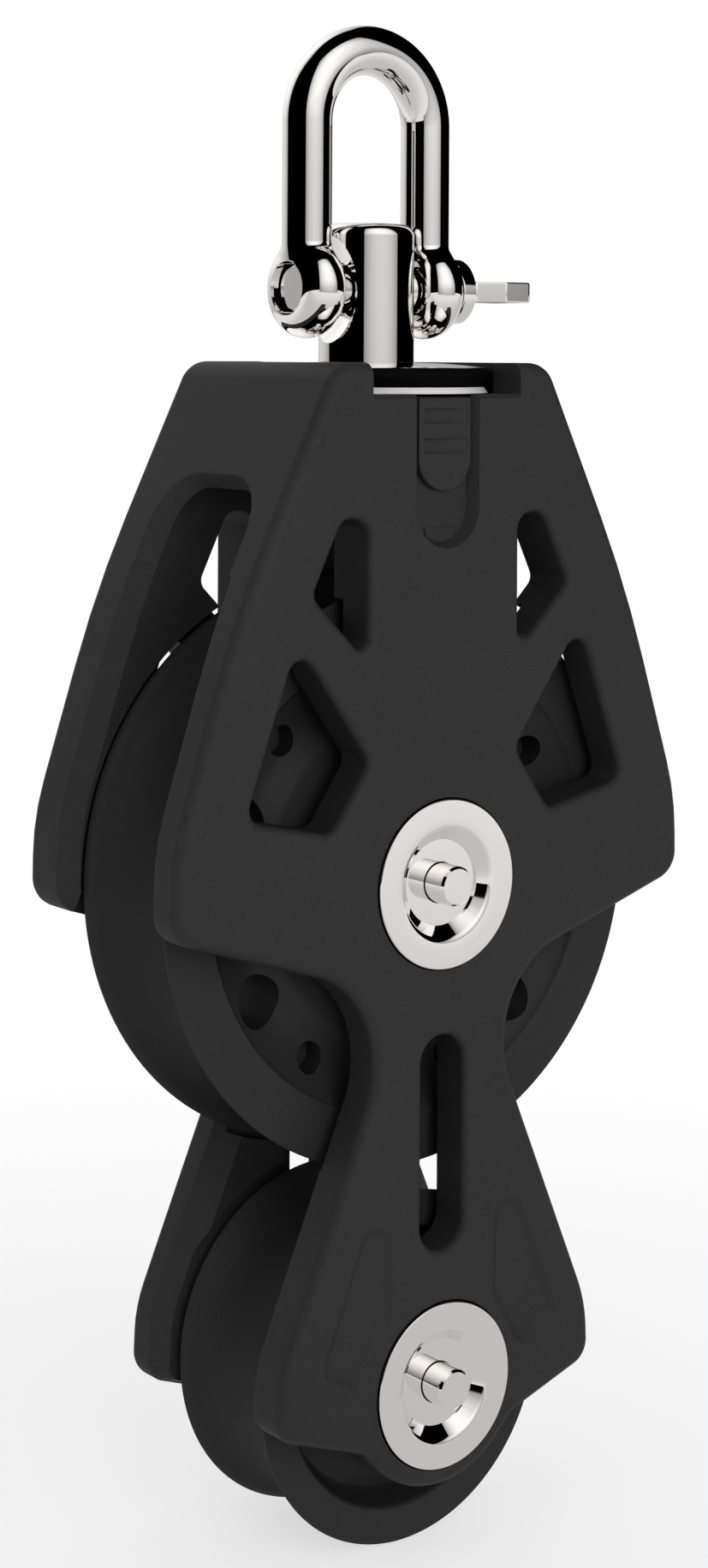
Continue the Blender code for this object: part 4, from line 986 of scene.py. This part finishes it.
bpy.ops.object.select_all(action="DESELECT")
bpy.ops.mesh.primitive_plane_add(size=12, location=(0, 0, cad_low.z - 0.0002))
floor = bpy.context.object
floor.name = "floor"
paper = plain("floor_paper", (0.88, 0.88, 0.88))
tree = paper.node_tree
glow = tree.nodes.new("ShaderNodeEmission")
ray = tree.nodes.new("ShaderNodeLightPath")
place = tree.nodes.new("ShaderNodeTexCoord")
away = tree.nodes.new("ShaderNodeVectorMath")
away.operation = "LENGTH"
fade = tree.nodes.new("ShaderNodeMapRange")
fade.interpolation_type = "SMOOTHSTEP"
fade.inputs["From Min"].default_value = 0.03
fade.inputs["From Max"].default_value = 0.22
fade.inputs["To Min"].default_value = 0.62
seen = tree.nodes.new("ShaderNodeMath")
seen.operation = "MULTIPLY"
eye_mix = tree.nodes.new("ShaderNodeMixShader")
split = tree.nodes.new("ShaderNodeSeparateXYZ")
depth = tree.nodes.new("ShaderNodeMath")
depth.operation = "ABSOLUTE"
# For glossy rays the floor is a painted reflection: a grey glow, lighter towards the front and back, in place
# of its lit paper.
floor_painted_reflection_ramp = ramp(tree, [(0.04, 0.56), (0.4, 0.8)])
floor_painted_reflection_glow = tree.nodes.new("ShaderNodeEmission")
steel_mix = tree.nodes.new("ShaderNodeMixShader")
wire(tree, (place.outputs["Object"], away.inputs[0]), (away.outputs["Value"], fade.inputs["Value"]),
     (ray.outputs["Is Camera Ray"], seen.inputs[0]), (fade.outputs["Result"], seen.inputs[1]),
     (seen.outputs["Value"], eye_mix.inputs["Fac"]),
     (tree.nodes["Principled BSDF"].outputs["BSDF"], eye_mix.inputs[1]),
     (glow.outputs["Emission"], eye_mix.inputs[2]),
     (place.outputs["Object"], split.inputs["Vector"]), (split.outputs["Y"], depth.inputs[0]),
     (depth.outputs["Value"], floor_painted_reflection_ramp.inputs["Fac"]), (floor_painted_reflection_ramp.outputs["Color"], floor_painted_reflection_glow.inputs["Color"]),
     (ray.outputs["Is Glossy Ray"], steel_mix.inputs["Fac"]), (eye_mix.outputs["Shader"], steel_mix.inputs[1]),
     (floor_painted_reflection_glow.outputs["Emission"], steel_mix.inputs[2]),
     (steel_mix.outputs["Shader"], tree.nodes["Material Output"].inputs["Surface"]))
floor.data.materials.append(paper)


def only_in_steel(piece):
    """Shown in reflections only, and throwing no light or shadow on the block."""
    piece.visible_camera = False
    piece.visible_diffuse = False
    piece.visible_shadow = False
    piece.visible_transmission = False


PANEL_Y = 0.6
PANEL_HALF = 0.56
PANEL_LOW, PANEL_HIGH = -0.12, 1.34


def panel_material():
    """A soft panel, brightest in the middle and falling off to its sides, foot and top."""
    material = bpy.data.materials.new("soft_panel")
    material.use_nodes = True
    tree = material.node_tree
    tree.nodes.remove(tree.nodes["Principled BSDF"])
    place = tree.nodes.new("ShaderNodeTexCoord")
    split = tree.nodes.new("ShaderNodeSeparateXYZ")
    side = tree.nodes.new("ShaderNodeMath")
    side.operation = "ABSOLUTE"
    across = ramp(tree, [(0.0, 1.0), (0.12, 0.97), (0.25, 0.87), (0.36, 0.72), (0.48, 0.54), (0.535, 0.46),
                         (0.56, 0.0)])
    rise = tree.nodes.new("ShaderNodeMapRange")
    rise.inputs["From Min"].default_value = PANEL_LOW
    rise.inputs["From Max"].default_value = PANEL_HIGH
    height = ramp(tree, [(0.0, 0.5), (0.082, 0.69), (0.15, 0.92), (0.22, 1.08), (0.5, 1.1), (0.83, 0.8),
                         (0.95, 0.62), (1.0, 0.1)])
    both = tree.nodes.new("ShaderNodeMix")
    both.data_type = "RGBA"
    both.blend_type = "MULTIPLY"
    both.inputs["Factor"].default_value = 1.0
    glow = tree.nodes.new("ShaderNodeEmission")
    wire(tree, (place.outputs["Object"], split.inputs["Vector"]), (split.outputs["X"], side.inputs[0]),
         (side.outputs["Value"], across.inputs["Fac"]), (split.outputs["Z"], rise.inputs["Value"]),
         (rise.outputs["Result"], height.inputs["Fac"]), (across.outputs["Color"], both.inputs["A"]),
         (height.outputs["Color"], both.inputs["B"]), (both.outputs["Result"], glow.inputs["Color"]),
         (glow.outputs["Emission"], tree.nodes["Material Output"].inputs["Surface"]))
    return material


soft_panel = panel_material()
for name, y in (("front_panel", -PANEL_Y), ("rear_panel", PANEL_Y)):
    bpy.ops.object.select_all(action="DESELECT")
    bpy.ops.mesh.primitive_plane_add(size=2)
    panel = bpy.context.object
    panel.name = name
    for vertex in panel.data.vertices:
        vertex.co = (vertex.co.x * PANEL_HALF, y, PANEL_LOW if vertex.co.y < 0 else PANEL_HIGH)
    panel.data.materials.append(soft_panel)
    only_in_steel(panel)
bpy.ops.object.select_all(action="DESELECT")
bpy.ops.mesh.primitive_uv_sphere_add(segments=32, ring_count=16, radius=2.5)
tent = bpy.context.object
tent.name = "tent"
tent.data.materials.append(plain("tent_black", (0.0, 0.0, 0.0)))
only_in_steel(tent)

world = bpy.data.worlds.new("studio")
bpy.context.scene.world = world
world.use_nodes = True
tree = world.node_tree
light = tree.nodes["Background"]
light.inputs["Color"].default_value = (1, 1, 1, 1)
light.inputs["Strength"].default_value = 0.8
white = tree.nodes.new("ShaderNodeBackground")
white.inputs["Color"].default_value = (1, 1, 1, 1)
white.inputs["Strength"].default_value = 1.0
ray = tree.nodes.new("ShaderNodeLightPath")
seen = tree.nodes.new("ShaderNodeMath")
seen.operation = "MAXIMUM"
clear = tree.nodes.new("ShaderNodeMath")
clear.operation = "MAXIMUM"
mix = tree.nodes.new("ShaderNodeMixShader")
wire(tree, (ray.outputs["Is Camera Ray"], seen.inputs[0]), (ray.outputs["Is Glossy Ray"], seen.inputs[1]),
     (seen.outputs["Value"], clear.inputs[0]), (ray.outputs["Is Transmission Ray"], clear.inputs[1]),
     (clear.outputs["Value"], mix.inputs["Fac"]), (light.outputs["Background"], mix.inputs[1]),
     (white.outputs["Background"], mix.inputs[2]),
     (mix.outputs["Shader"], tree.nodes["World Output"].inputs["Surface"]))


def softbox(name, energy, size, place):
    """A square soft lamp turned to the upper axle, that shows in no reflection."""
    bpy.ops.object.light_add(type="AREA")
    lamp = bpy.context.object
    lamp.name = name
    lamp.data.size = size
    lamp.data.energy = energy
    lamp.location = at(0, 0, 0) + Vector(place)
    lamp.rotation_euler = Vector(place).to_track_quat("Z", "Y").to_euler()
    lamp.visible_glossy = False


softbox("softbox", energy=2.6, size=0.5, place=(-0.12, -0.75, 0.2))
bpy.context.scene.view_settings.view_transform = "Standard"
